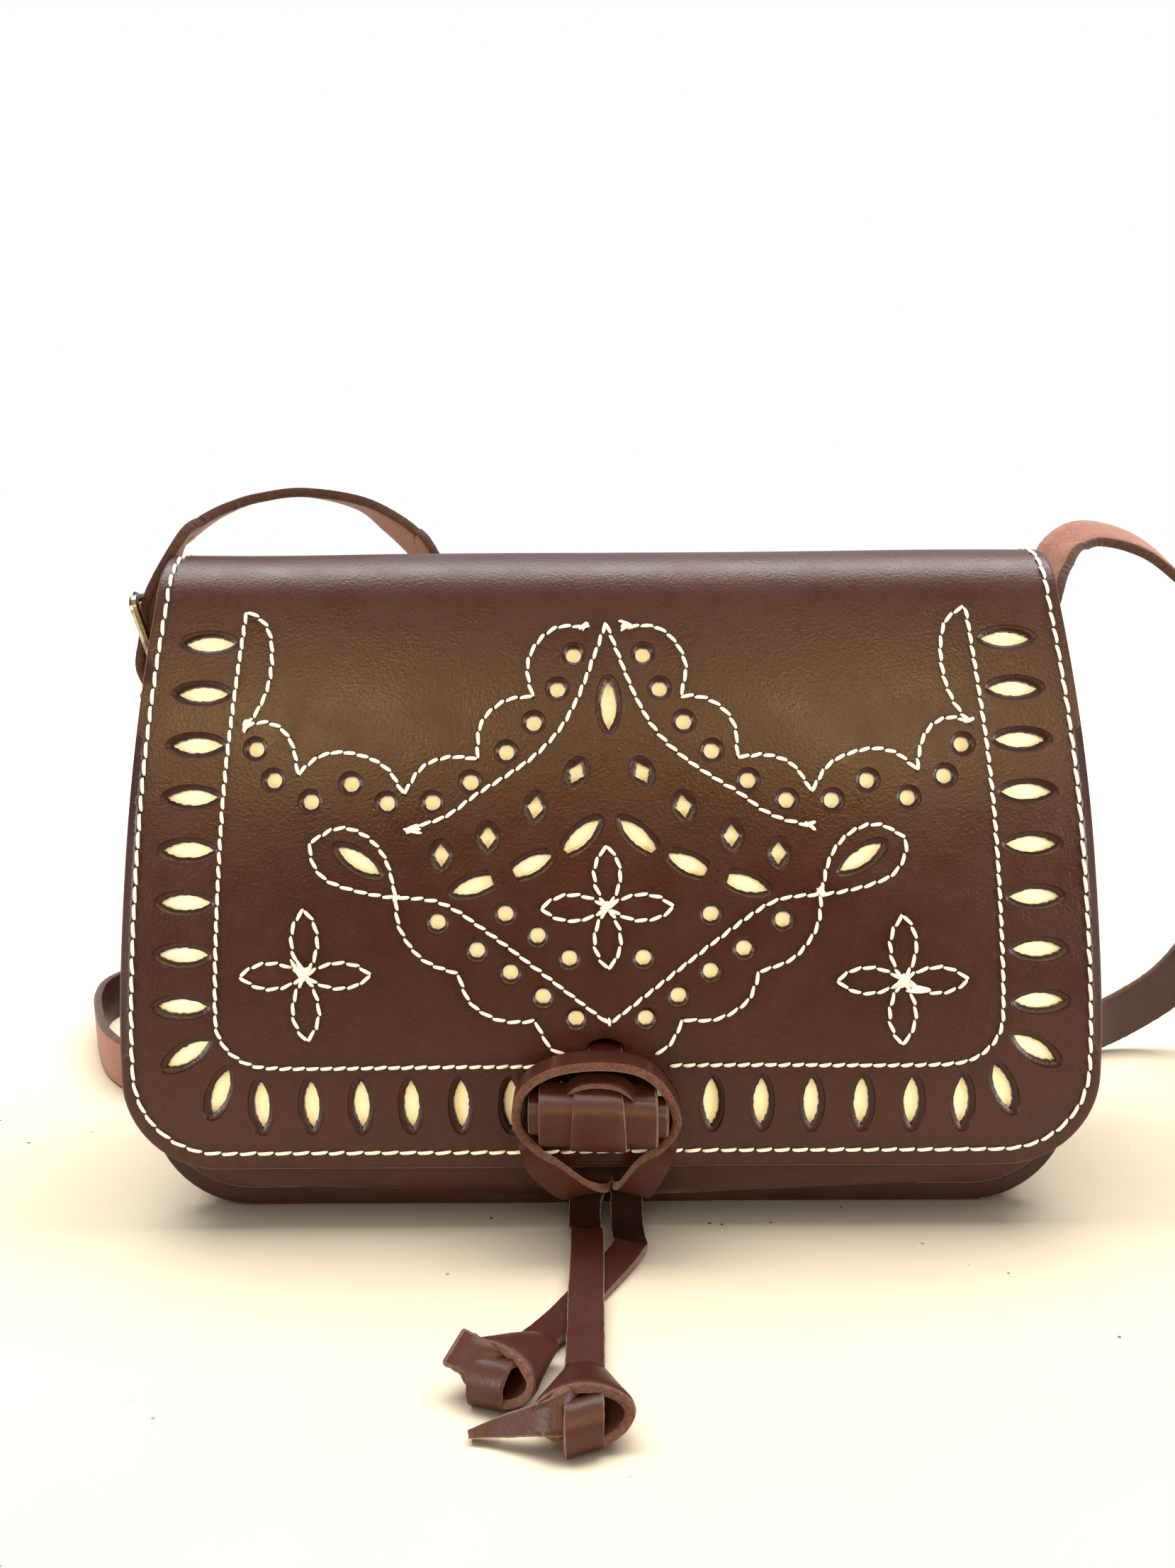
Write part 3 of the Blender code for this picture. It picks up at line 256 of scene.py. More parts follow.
class Shader:
    """Builds one node material around a Principled shader."""

    def __init__(self, name):
        self.material = bpy.data.materials.new(name)
        self.material.use_nodes = True
        self.tree = self.material.node_tree
        self.principled = self.tree.nodes["Principled BSDF"]
        self.place = self.node("ShaderNodeTexCoord").outputs["Object"]

    def node(self, kind, **settings):
        made = self.tree.nodes.new(kind)
        for key, value in settings.items():
            setattr(made, key, value)
        return made

    def link(self, source, target):
        self.tree.links.new(source, target)

    def noise(self, scale, detail=3.0, roughness=0.55, place=None):
        made = self.node("ShaderNodeTexNoise")
        made.inputs["Scale"].default_value = scale
        made.inputs["Detail"].default_value = detail
        made.inputs["Roughness"].default_value = roughness
        self.link(place or self.place, made.inputs["Vector"])
        return made.outputs["Fac"]

    def cells(self, scale, feature="SMOOTH_F1"):
        made = self.node("ShaderNodeTexVoronoi", feature=feature)
        made.inputs["Scale"].default_value = scale
        self.link(self.place, made.inputs["Vector"])
        return made.outputs["Distance"]

    def stretched(self, x, y, z):
        made = self.node("ShaderNodeMapping")
        made.inputs["Scale"].default_value = (x, y, z)
        self.link(self.place, made.inputs["Vector"])
        return made.outputs["Vector"]

    def ramp(self, value, low, high, to_low=0.0, to_high=1.0):
        made = self.node("ShaderNodeMapRange")
        for socket, number in zip(made.inputs[1:5], (low, high, to_low, to_high)):
            socket.default_value = number
        self.link(value, made.inputs["Value"])
        return made.outputs["Result"]

    def mix(self, share, first, second):
        made = self.node("ShaderNodeMix", data_type="RGBA")
        for socket, value in ((made.inputs["Factor"], share), (made.inputs["A"], first),
                              (made.inputs["B"], second)):
            self.fill(socket, value)
        return made.outputs["Result"]

    def math(self, operation, first, second):
        made = self.node("ShaderNodeMath", operation=operation)
        self.fill(made.inputs[0], first)
        self.fill(made.inputs[1], second)
        return made.outputs[0]

    def fill(self, socket, value):
        if isinstance(value, bpy.types.NodeSocket):
            self.link(value, socket)
        elif isinstance(value, tuple):
            socket.default_value = (*value, 1)
        else:
            socket.default_value = value

    def attribute(self, name):
        return self.node("ShaderNodeAttribute", attribute_name=name).outputs["Fac"]

    def bump(self, layers):
        """Chain of bumps from (height, distance in metres, strength) layers."""
        normal = None
        for height, distance, strength in layers:
            made = self.node("ShaderNodeBump")
            made.inputs["Distance"].default_value = distance
            made.inputs["Strength"].default_value = strength
            self.link(height, made.inputs["Height"])
            if normal:
                self.link(normal, made.inputs["Normal"])
            normal = made.outputs["Normal"]
        self.link(normal, self.principled.inputs["Normal"])

    def set(self, **values):
        for key, value in values.items():
            self.fill(self.principled.inputs[key.replace("_", " ")], value)
        return self.material


def grain_leather(name, colour, dark, gloss=0.36, grain=1.0):
    """Waxed leather: fine pebble grain, slow colour drift, and painted shade from the dark
    attribute, deepest in pressed rims, cuts and folds.
    """
    shader = Shader(name)
    drift = shader.ramp(shader.noise(28, 4), 0.35, 0.7)
    mottle = shader.ramp(shader.noise(260, 3), 0.4, 0.75)
    shade = shader.mix(drift, colour, tuple(c * 0.82 for c in colour))
    shade = shader.mix(shader.math("MULTIPLY", mottle, 0.22), shade, dark)
    # Painted shade: the mesh's dark attribute mixes in the dark colour where shade falls.
    shade = shader.mix(shader.attribute("dark"), shade, dark)
    wrinkles = shader.noise(1250, 2, 0.5)
    pebble = shader.cells(1700)
    shader.bump([
        (shader.noise(60, 2), 0.9 * MM, 0.10),
        (wrinkles, 0.16 * MM, 0.55 * grain),
        (pebble, 0.10 * MM, 0.45 * grain),
        (shader.noise(3600, 2), 0.04 * MM, 0.5 * grain),
    ])
    rough = shader.ramp(shader.noise(90, 3), 0.3, 0.7, gloss - 0.04, gloss + 0.06)
    shader.principled.inputs["Specular IOR Level"].default_value = 0.36
    return shader.set(Base_Color=shade, Roughness=rough)


def raw_edge(name, colour, dark):
    """Cut edge and flesh side: matt, fibrous, uneven."""
    shader = Shader(name)
    fibres = shader.ramp(shader.noise(1400, 6, 0.7), 0.35, 0.68)
    patches = shader.ramp(shader.noise(220, 3), 0.35, 0.7)
    shade = shader.mix(fibres, dark, colour)
    shade = shader.mix(shader.math("MULTIPLY", patches, 0.35), shade, dark)
    # Painted shade: the mesh's dark attribute mixes in the dark colour.
    shade = shader.mix(shader.attribute("dark"), shade, dark)
    shader.bump([
        (shader.noise(900, 6, 0.7), 0.30 * MM, 0.8),
        (shader.noise(3200, 4, 0.7), 0.10 * MM, 0.7),
    ])
    shader.principled.inputs["Specular IOR Level"].default_value = 0.25
    shader.principled.inputs["Sheen Weight"].default_value = 0.25
    return shader.set(Base_Color=shade, Roughness=0.85)


def pale_leather(name):
    """Cream inlay: chalky, faintly creased, with brown specks from the cut edges."""
    shader = Shader(name)
    drift = shader.ramp(shader.noise(120, 3), 0.35, 0.7)
    shade = shader.mix(drift, (0.93, 0.86, 0.66), (0.90, 0.80, 0.58))
    specks = shader.ramp(shader.noise(1500, 2), 0.70, 0.78)
    shade = shader.mix(shader.math("MULTIPLY", specks, 0.6), shade, (0.35, 0.2, 0.11))
    shader.bump([(shader.noise(700, 4), 0.15 * MM, 0.35)])
    return shader.set(Base_Color=shade, Roughness=0.6)


def sewing_thread(name):
    """Waxed white thread with faint plies."""
    shader = Shader(name)
    plies = shader.noise(2600, 3, 0.6)
    shade = shader.mix(shader.ramp(plies, 0.3, 0.7), (0.80, 0.70, 0.62), (0.93, 0.87, 0.80))
    # Painted shade: brown where the thread dives into its needle holes, from the dark attribute.
    shade = shader.mix(shader.attribute("dark"), shade, (0.20, 0.10, 0.07))
    shader.bump([(plies, 0.12 * MM, 0.6)])
    shader.principled.inputs["Sheen Weight"].default_value = 0.3
    return shader.set(Base_Color=shade, Roughness=0.55)


def aged_metal(name):
    """Dulled brass plate with scratches and darker tarnish."""
    shader = Shader(name)
    tarnish = shader.ramp(shader.noise(420, 5), 0.42, 0.62)
    shade = shader.mix(tarnish, (0.34, 0.31, 0.22), (0.12, 0.10, 0.07))
    scratches = shader.noise(900, 4, 0.7, shader.stretched(1, 1, 0.08))
    shader.bump([(scratches, 0.05 * MM, 0.25)])
    rough = shader.ramp(tarnish, 0, 1, 0.24, 0.46)
    return shader.set(Base_Color=shade, Metallic=1.0, Roughness=rough)


def thong_looks(looks):
    """Outer face, cut edges and inner face of the thong and the toggle's neck."""
    return [looks["thong"], looks["edge"], looks["thong"]]


def make_materials():
    raw_dark = (0.050, 0.018, 0.012)
    return {
        "flap": grain_leather("flap_leather", (0.040, 0.0090, 0.0052), (0.010, 0.002, 0.0015)),
        "body": grain_leather("body_leather", (0.036, 0.0086, 0.0050), (0.008, 0.002, 0.0015),
                              0.40),
        "thong": grain_leather("thong_leather", (0.048, 0.0105, 0.0060),
                               (0.009, 0.002, 0.0015), 0.44, 0.6),
        "strap": grain_leather("strap_leather", (0.036, 0.012, 0.0088), (0.010, 0.004, 0.003),
                               0.38, 0.7),
        "edge": raw_edge("cut_edge", (0.165, 0.065, 0.038), raw_dark),
        "flesh": raw_edge("flesh_side", (0.32, 0.125, 0.078), (0.15, 0.052, 0.032)),
        "strap_edge": raw_edge("strap_cut_edge", (0.088, 0.036, 0.022), (0.030, 0.011, 0.008)),
        "inside": raw_edge("lining_leather", (0.20, 0.095, 0.060), (0.10, 0.045, 0.028)),
        "cream": pale_leather("cream_leather"),
        "thread": sewing_thread("sewing_thread"),
        "metal": aged_metal("aged_metal"),
    }


# Mesh building

class Builder:
    """Collects points with a darkness value, the painted shade that the materials read, and faces
    with a material slot.
    """

    def __init__(self):
        self.points = []
        self.dark = []
        self.faces = []
        self.slots = []

    def add(self, points, dark=0.0):
        """Adds a row of points; dark, the painted shade, is one value, or a list with one for each
        point.
        """
        first = len(self.points)
        self.points.extend(points)
        self.dark.extend(dark if isinstance(dark, list) else [dark] * len(points))
        return list(range(first, first + len(points)))

    def face(self, corners, slot=0):
        self.faces.append(tuple(corners))
        self.slots.append(slot)

    def band(self, first, second, slots=0):
        """Closed band of quads between two rows; slots is one slot, or a list of them."""
        count = len(first)
        if not isinstance(slots, list):
            slots = [slots] * count
        for i in range(count):
            j = (i + 1) % count
            self.face((first[i], first[j], second[j], second[i]), slots[i])

    def cap(self, ring, centre, slot=0, dark=0.0):
        middle = self.add([centre], dark)[0]
        for i in range(len(ring)):
            self.face((ring[i], ring[(i + 1) % len(ring)], middle), slot)

    def make(self, name, materials, to_world=None, smooth_angle=40):
        mesh = bpy.data.meshes.new(name)
        points = self.points if to_world is None else [to_world(*p) for p in self.points]
        mesh.from_pydata(points, [], self.faces)
        for material in materials:
            mesh.materials.append(material)
        mesh.polygons.foreach_set("material_index", self.slots)
        # The painted shade goes to the mesh as its dark attribute.
        shade = mesh.attributes.new("dark", "FLOAT", "POINT")
        shade.data.foreach_set("value", self.dark)
        bm = bmesh.new()
        bm.from_mesh(mesh)
        bmesh.ops.recalc_face_normals(bm, faces=bm.faces)
        bm.to_mesh(mesh)
        bm.free()
        mesh.shade_smooth()
        mesh.set_sharp_from_angle(angle=math.radians(smooth_angle))
        obj = bpy.data.objects.new(name, mesh)
        bpy.context.scene.collection.objects.link(obj)
        return obj


def resampled(ring, step):
    """Closed ring with its long sides split into pieces of about one step."""
    found = []
    for i, (u, v) in enumerate(ring):
        u2, v2 = ring[(i + 1) % len(ring)]
        count = max(1, round(math.hypot(u2 - u, v2 - v) / step))
        found += [(u + (u2 - u) * k / count, v + (v2 - v) * k / count) for k in range(count)]
    return found


def moved_in(ring, distance):
    """Ring, counter-clockwise, moved inward along its corner normals."""
    found = []
    count = len(ring)
    for i, (u, v) in enumerate(ring):
        before = Vector(ring[i - 1])
        after = Vector(ring[(i + 1) % count])
        here = Vector((u, v))
        first = (here - before).normalized()
        second = (after - here).normalized()
        inward = Vector((-(first.y + second.y), first.x + second.x))
        if inward.length < 1e-6:
            inward = Vector((-first.y, first.x))
        inward.normalize()
        share = max(0.5, inward.dot(Vector((-first.y, first.x))))
        found.append(tuple(here + inward * (distance / share)))
    return found


def inside(ring, u, v):
    """Whether the point lies inside the ring, by counting crossings."""
    crossings = False
    u1, v1 = ring[-1]
    for u2, v2 in ring:
        if (v1 > v) != (v2 > v) and u < (u2 - u1) * (v - v1) / (v2 - v1) + u1:
            crossings = not crossings
        u1, v1 = u2, v2
    return crossings


def fill(builder, outer, holes, extra, w, slot=0):
    """Triangles between an outer ring and hole rings, with extra points (u, v, w, dark)."""
    rings = [outer, *holes]
    known = [i for ring in rings for i in ring]
    known += [builder.add([(u, v, depth)], dark)[0] for u, v, depth, dark in extra]
    flat = [Vector(builder.points[i][:2]) for i in known]
    edges = []
    start = 0
    owner = {}
    for number, ring in enumerate(rings):
        count = len(ring)
        edges += [(start + i, start + (i + 1) % count) for i in range(count)]
        for i in range(count):
            owner[start + i] = number
        start += count
    face = [list(range(len(outer)))]
    _, _, found, origins, _, _ = delaunay_2d_cdt(flat, edges, face, 1, 1e-9, True)
    names = [ids[0] if ids else None for ids in origins]
    for corners in found:
        ids = [names[c] for c in corners]
        if None in ids:
            continue
        owners = {owner.get(i) for i in ids}
        if len(owners) == 1 and owners != {None} and owners != {0}:
            continue
        builder.face([known[i] for i in ids], slot)


def extent(points, margin=0.0):
    """(low u, high u, low v, high v) of the points, wider by the margin."""
    us = [p[0] for p in points]
    vs = [p[1] for p in points]
    return min(us) - margin, max(us) + margin, min(vs) - margin, max(vs) + margin


def grid_points(outer, holes, spacing, clearance, others=()):
    """Staggered grid inside the outer ring, away from all rings and the other points."""
    rings = [outer, *holes]
    points = [p for ring in rings for p in ring] + list(others)
    tree = KDTree(len(points))
    for i, (u, v) in enumerate(points):
        tree.insert((u, v, 0), i)
    tree.balance()
    boxes = [(*extent(ring), ring) for ring in holes]
    low_u, high_u, low_v, high_v = extent(outer)
    found = []
    rows = int((high_v - low_v) / spacing)
    columns = int((high_u - low_u) / spacing)
    for row in range(1, rows + 1):
        v = low_v + row * spacing
        for column in range(columns + 1):
            u = low_u + (column + 0.5 * (row % 2)) * spacing
            if tree.find((u, v, 0))[2] < clearance or not inside(outer, u, v):
                continue
            if any(a < u < b and c < v < d and inside(ring, u, v) for a, b, c, d, ring in boxes):
                continue
            found.append((u, v))
    return found


def slab(name, outline, to_world, depth, thick, materials, rounding, spacing, holes=(), extra=()):
    """Leather piece cut flat: rounded cut edges, holes with pressed rims, bent into place.

    depth is w of the outer face. A hole is (rings of (u, v, w, dark) from the rim inward).
    extra are further points of the outer face, such as needle holes.
    """
    builder = Builder()
    outline = resampled(outline, spacing)
    steps = [(rounding, 0), (rounding * 0.35, rounding * 0.15), (0, rounding * 0.6),
             (0, thick - rounding * 0.6), (rounding * 0.35, thick - rounding * 0.15),
             (rounding, thick)]
    rings = [moved_in(outline, inset) for inset, _ in steps]
    rows = [builder.add([(u, v, depth + w) for u, v in ring])
            for ring, (_, w) in zip(rings, steps)]
    for i in range(len(rows) - 1):
        builder.band(rows[i], rows[i + 1], 1 if i in (1, 2, 3) else 0)
    hole_rows = []
    for hole in holes:
        made = []
        for ring in hole:
            made.append(builder.add([(u, v, depth + w) for u, v, w, _ in ring],
                                    [dark for *_, dark in ring]))
        for i, (first, second) in enumerate(zip(made, made[1:])):
            builder.band(first, second, 1 if i >= len(made) - 2 else 0)
        hole_rows.append(made)
    front_holes = [[builder.points[i][:2] for i in made[0]] for made in hole_rows]
    grid = grid_points(rings[0], front_holes, spacing, spacing * 0.55,
                       [(u, v) for u, v, _, _ in extra])
    front = [(u, v, depth, 0.0) for u, v in grid]
    front += [(u, v, depth + w, dark) for u, v, w, dark in extra]
    fill(builder, rows[0], [made[0] for made in hole_rows], front, depth)
    back_holes = [[builder.points[i][:2] for i in made[-1]] for made in hole_rows]
    grid = grid_points(rings[-1], back_holes, spacing * 1.6, spacing)
    back = [(u, v, depth + thick, 0.0) for u, v in grid]
    fill(builder, rows[-1], [made[-1] for made in hole_rows], back, depth + thick, 2)
    return builder.make(name, materials, to_world)


# Outlines and cut-outs of the flat patterns

def arc_points(centre, radius, start, end, count):
    """Points of an arc about centre, angles in degrees."""
    found = []
    for i in range(count + 1):
        angle = math.radians(start + (end - start) * i / count)
        found.append((centre[0] + radius * math.cos(angle), centre[1] + radius * math.sin(angle)))
    return found


def mirrored(right_half):
    """Closed ring from its right half, which runs up from the bottom to the top."""
    return right_half + [(-u, v) for u, v in reversed(right_half)]


def flap_half_width(v):
    share = max(0.0, v - TAPER_START) / (DROP - TAPER_START)
    return FLAP_HALF_WIDTH - FLAP_TAPER * min(1.0, share) ** 1.3


def flap_outline(inset, bottom, top):
    """Flap's outline moved in by inset, between v = bottom and v = top."""
    radius = FLAP_CORNER - inset
    centre = (FLAP_HALF_WIDTH - FLAP_CORNER, bottom + radius)
    half = arc_points(centre, radius, -90, 0, 16)
    levels = [TAPER_START + (DROP - TAPER_START) * i / 12 for i in range(13)]
    half += [(flap_half_width(v) - inset, v) for v in levels if v < top - GAP]
    half.append((flap_half_width(top) - inset, top))
    return half


def one_piece_outline(inset, drop=0.0):
    """Flap, ridge and back as one piece of leather, moved in by inset; drop is its lower lip."""
    half = flap_outline(inset, inset - drop, FLAP_LENGTH)
    wide = BODY_HALF_WIDTH + PANEL_OVERHANG - inset
    half.append((wide, FLAP_LENGTH + 12 * MM))
    radius = BODY_CORNER - inset
    centre = (wide - radius, LEATHER_END - inset - radius)
    half += arc_points(centre, radius, 0, 90, 12)
    return mirrored(half)


UPPER_CHAIN = (
    (8.5, 126), (12.5, 117.3), (18.3, 109), (25, 101.8), (33.7, 94.5), (43, 89.6),
    (54, 89.5), (62.7, 94.3), (72.5, 90), (81.5, 95.3), (86, 103),
)
LOWER_CHAIN = ((42, 60.5), (32.5, 53.5), (24.4, 48), (16.5, 42), (8.5, 36.5))
INNER_CHAIN_LEFT = ((25.5, 62.4), (17.7, 57), (10, 51.4))
INNER_CHAIN_RIGHT = ((24.5, 62), (8, 51.4))
DIAMONDS = ((8, 96.6, 115), (18, 88.3, 100), (29.6, 81, 90), (41, 76.7, 90))
INNER_LEAVES = ((7.1, 80.9, -43), (19.5, 74, -26), (32.5, 69.4, -18), (61, 75.5, 33))
CENTRE_LEAF = (0, 113.3, 90)


def leaf_edge(turn):
    """Point of the leaf's edge, long axis along the first coordinate, turn in radians."""
    sagitta = LEAF_WIDTH / 2
    radius = (LEAF_LENGTH ** 2 / 4 + sagitta ** 2) / (2 * sagitta)
    a = LEAF_LENGTH / 2 * math.cos(turn)
    b = math.sqrt(max(0.0, radius ** 2 - a ** 2)) - (radius - sagitta)
    return a, math.copysign(b, math.sin(turn))


def hole_edge(turn):
    return HOLE_DIAMETER / 2 * math.cos(turn), HOLE_DIAMETER / 2 * math.sin(turn)


def diamond_edge(turn):
    a, b = math.cos(turn), math.sin(turn)
    reach = 1 / (abs(a) / (DIAMOND_LENGTH / 2) + abs(b) / (DIAMOND_WIDTH / 2))
    return a * reach, b * reach


# Edge function, points round it, half axes of the pressed rim, raggedness
CUT_KINDS = {
    "leaf": (leaf_edge, 44, LEAF_LENGTH / 2 + PRESS_MARGIN, LEAF_WIDTH / 2 + PRESS_MARGIN,
             0.42 * MM),
    "hole": (hole_edge, 20, HOLE_DIAMETER / 2 + 1.15 * MM, HOLE_DIAMETER / 2 + 1.15 * MM,
             0.2 * MM),
    "diamond": (diamond_edge, 24, DIAMOND_LENGTH / 2 + 1.2 * MM, DIAMOND_WIDTH / 2 + 1.1 * MM,
                0.5 * MM),
}


def cut_places():
    """(kind, u, v, angle in degrees) of every cut-out in the flap."""
    found = []
    for i in range(COLUMN_COUNT):
        v = COLUMN_START + COLUMN_PITCH * i
        u = flap_half_width(v) - BORDER_INSET
        found += [("leaf", u, v, 0), ("leaf", -u, v, 0)]
    radius = FLAP_CORNER - BORDER_INSET + CORNER_BOW
    centre = (FLAP_HALF_WIDTH - BORDER_INSET - radius, BORDER_INSET + radius)
    for i in range(CORNER_LEAVES):
        turn = -20 - 36 * i
        u = centre[0] + radius * math.cos(math.radians(turn))
        v = centre[1] + radius * math.sin(math.radians(turn))
        found += [("leaf", u, v, turn - 12), ("leaf", -u, v, 192 - turn)]
    for i in range(ROW_COUNT):
        found.append(("leaf", (i - (ROW_COUNT - 1) / 2) * ROW_PITCH, BORDER_INSET, 90))
    for u, v in UPPER_CHAIN + LOWER_CHAIN:
        found += [("hole", u * MM, v * MM, 0), ("hole", -u * MM, v * MM, 0)]
    found += [("hole", -u * MM, v * MM, 0) for u, v in INNER_CHAIN_LEFT]
    found += [("hole", u * MM, v * MM, 0) for u, v in INNER_CHAIN_RIGHT]
    for kind, places in (("diamond", DIAMONDS), ("leaf", INNER_LEAVES)):
        for u, v, angle in places:
            found += [(kind, u * MM, v * MM, angle), (kind, -u * MM, v * MM, 180 - angle)]
    found.append(("leaf", CENTRE_LEAF[0] * MM, CENTRE_LEAF[1] * MM, CENTRE_LEAF[2]))
    return found


# 1 at the pressed rim, 0 at the cut edge, below that down the cut to the back
PRESS_SHARES = (1.0, 0.9, 0.8, 0.6, 0.4, 0.2, 0.0, -1.0, -2.0)


def pressed_cut(kind, u, v, angle, rng):
    """Rings (u, v, w, dark) of a punched cut-out, from its pressed rim to the back."""
    edge, count, rim_a, rim_b, ragged = CUT_KINDS[kind]
    turn = math.radians(angle)
    seed = rng.random() * 50
    rings = []
    for share in PRESS_SHARES:
        ring = []
        for i in range(count):
            around = math.tau * i / count
            a, b = edge(around)
            tear = ragged * (noise.noise(Vector((seed, i * 0.9, 0)))
                             + 0.7 * noise.noise(Vector((seed + 9, i * 2.7, 0))))
            length = max(math.hypot(a, b), MM / 10)
            a -= a / length * abs(tear)
            b -= b / length * abs(tear) * 0.9
            out_a, out_b = rim_a * math.cos(around), rim_b * math.sin(around)
            part = max(0.0, share)
            a, b = a + (out_a - a) * part, b + (out_b - b) * part
            step = min(1.0, (1 - part) / 0.2)
            fall = 0.45 * step * step * (3 - 2 * step) + 0.55 * (1 - part) ** 2
            if share >= 0:
                w = PRESS_DEPTH * fall
            else:
                w = PRESS_DEPTH + (OUTER_THICK - PRESS_DEPTH) * -share / 2
                pull = 1 - 0.05 * math.sin(seed + i * 2.3)
                a, b = a * pull, b * pull
            # Painted shade: none on the flat leather, deepening into the pressed rim and down the
            # cut's walls.
            dark = 0.8
            if share == 1:
                dark = 0.0
            elif share >= 0:
                dark = 0.15 + 0.85 * (1 - part) ** 1.5
            ring.append((u + a * math.cos(turn) - b * math.sin(turn),
                         v + a * math.sin(turn) + b * math.cos(turn), w, dark))
        rings.append(ring)
    return rings


def slit_cut(width, height, thick, u, v, rise=0.0):
    """Rings of a slit with slightly rounded edges, pulled open upward by rise."""
    rings = []
    # The last number is painted shade, deepening into the slit.
    for grow, w, dark in ((0.6 * MM, 0, 0.3), (0.2 * MM, 0.15 * MM, 0.6), (0, 0.6 * MM, 0.9),
                          (0, thick, 1.0)):
        ring = []
        for k in range(36):
            turn = math.tau * k / 36
            a, b = math.cos(turn), math.sin(turn)
            bend = max(abs(a), abs(b)) ** 0.6
            up = height / 2 + (rise * math.cos(a * math.pi / 2) if b > 0 else 0)
            ring.append((u + a / bend * (width / 2 + grow), v + b / bend * (up + grow), w, dark))
        rings.append(ring)
    return rings


# Curves

def smooth_route(points, steps):
    """Smooth curve through the points, with steps between each two."""
    points = [Vector(p) for p in points]
    ends = [2 * points[0] - points[1], *points, 2 * points[-1] - points[-2]]
    found = []
    for i in range(1, len(ends) - 2):
        before, start, end, after = ends[i - 1:i + 3]
        for k in range(steps):
            t = k / steps
            found.append(0.5 * (2 * start + (end - before) * t
                                + (2 * before - 5 * start + 4 * end - after) * t ** 2
                                + (3 * start - before - 3 * end + after) * t ** 3))
    found.append(points[-1])
    return found


def smooth_mm(points, steps=8):
    """Smooth curve through points given in millimetres."""
    return smooth_route([Vector(p) * MM for p in points], steps)


def running_lengths(line):
    """Length along the line at each of its points."""
    lengths = [0.0]
    for first, second in zip(line, line[1:]):
        lengths.append(lengths[-1] + (second - first).length)
    return lengths


def frame_matrix(side, along, out, origin):
    """Matrix with these axes and this origin."""
    rows = zip(side, along, out, origin)
    return Matrix([*(list(row) for row in rows), [0, 0, 0, 1]])


# Stitching

def walked(line, pitch):
    """Points of the line at equal distances of about the pitch, both ends included."""
    lengths = running_lengths(line)
    count = max(1, round(lengths[-1] / pitch))
    found = []
    index = 0
    for k in range(count + 1):
        wanted = lengths[-1] * k / count
        while index < len(lengths) - 2 and lengths[index + 1] < wanted:
            index += 1
        run = lengths[index + 1] - lengths[index]
        share = (wanted - lengths[index]) / run if run else 0
        found.append(line[index].lerp(line[index + 1], min(1.0, share)))
    return found


SCALLOPS = (
    ((-88.9, 108), (-86, 109.4), (-82, 109.2), (-78.6, 106.8), (-76.5, 102.7), (-75.5, 96.5)),
    ((-75.5, 96.5), (-70.7, 100.8), (-63.7, 101.9), (-54.6, 98.6), (-49.8, 91.6)),
    ((-49.8, 91.6), (-45.5, 98.1), (-39, 100.6), (-32, 100)),
    ((-32, 100), (-31.6, 107.5), (-29.1, 111.7), (-24.1, 114.9), (-18.5, 115.2)),
    ((-18.5, 115.2), (-20, 122.7), (-17.9, 128.3), (-14.2, 132.2), (-10, 133.3), (-5.4, 132.6)),
)
TENT = ((-0.3, 134.3), (-3.4, 125.6), (-7.2, 115.7), (-11.8, 107.4), (-17.6, 101.2), (-25, 95.9),
        (-32.4, 91.4), (-39.8, 86.1), (-49.7, 83.1))
SIDE_PETAL = ((-89.4, 137.7), (-84.6, 134.5), (-82.6, 127.5), (-83.1, 118.9), (-85.7, 112.1),
              (-88.9, 108))
EYE = (
    ((-51.9, 66.6), (-54.3, 76.1), (-59.5, 82), (-66, 83.6), (-72.5, 80.1)),
    ((-72.5, 80.1), (-72, 75), (-68, 70.5), (-58.6, 67.6), (-51.9, 66.6)),
)
VEE = ((-51.9, 66.6), (-45, 66.2), (-38.7, 64.2), (-28.3, 56.9), (-17, 48.2), (-0.8, 35.5))
LOWER_SCALLOPS = (
    ((-51.9, 66.6), (-51.1, 59), (-45.5, 51.3), (-37, 47.9)),
    ((-37, 47.9), (-34.2, 40.6), (-26.6, 36.2), (-18.4, 36.2)),
    ((-18.4, 36.2), (-15.2, 29.7), (-11.4, 27.7)),
)
INNER_BORDER = ((-89.4, 137.7), (-91, 120), (-93.3, 94.7), (-95.2, 65), (-96.3, 37.6),
                (-95.2, 31.6), (-91.3, 27.2), (-85.5, 25), (-70, 24.6), (-40, 24.8), (-15, 24.8))
MIRROR_SHIFT = -0.9
FLOWERS = ((-74.2, 47.7, 16, 16.3), (-0.7, 63.8, 16.2, 15), (70.9, 45.6, 16, 16))
PETAL_HALF_WIDTH = 3.3

SHORT_PITCH = 3.35 * MM
LONG_PITCH = 4.4 * MM
BORDER_STITCH_INSET = 3.0 * MM
FLAP_LIP = 1.3 * MM
THREAD_RADIUS = 0.43 * MM
THREAD_SIDES = 8
NEEDLE_SPACING = 1.1 * MM
NEEDLE_RADIUS = 0.48 * MM


def petal(centre, tip):
    """Closed lens from the flower's centre to its tip, as two lines."""
    start, end = Vector(centre), Vector(tip)
    across = (end - start).normalized()
    across = Vector((-across.y, across.x))
    lines = []
    for side in (-1, 1):
        bulge = [start.lerp(end, s) + across * side * PETAL_HALF_WIDTH * k
                 for s, k in ((0.25, 0.72), (0.55, 1.0), (0.82, 0.66))]
        lines.append([start, *bulge, end])
    return lines


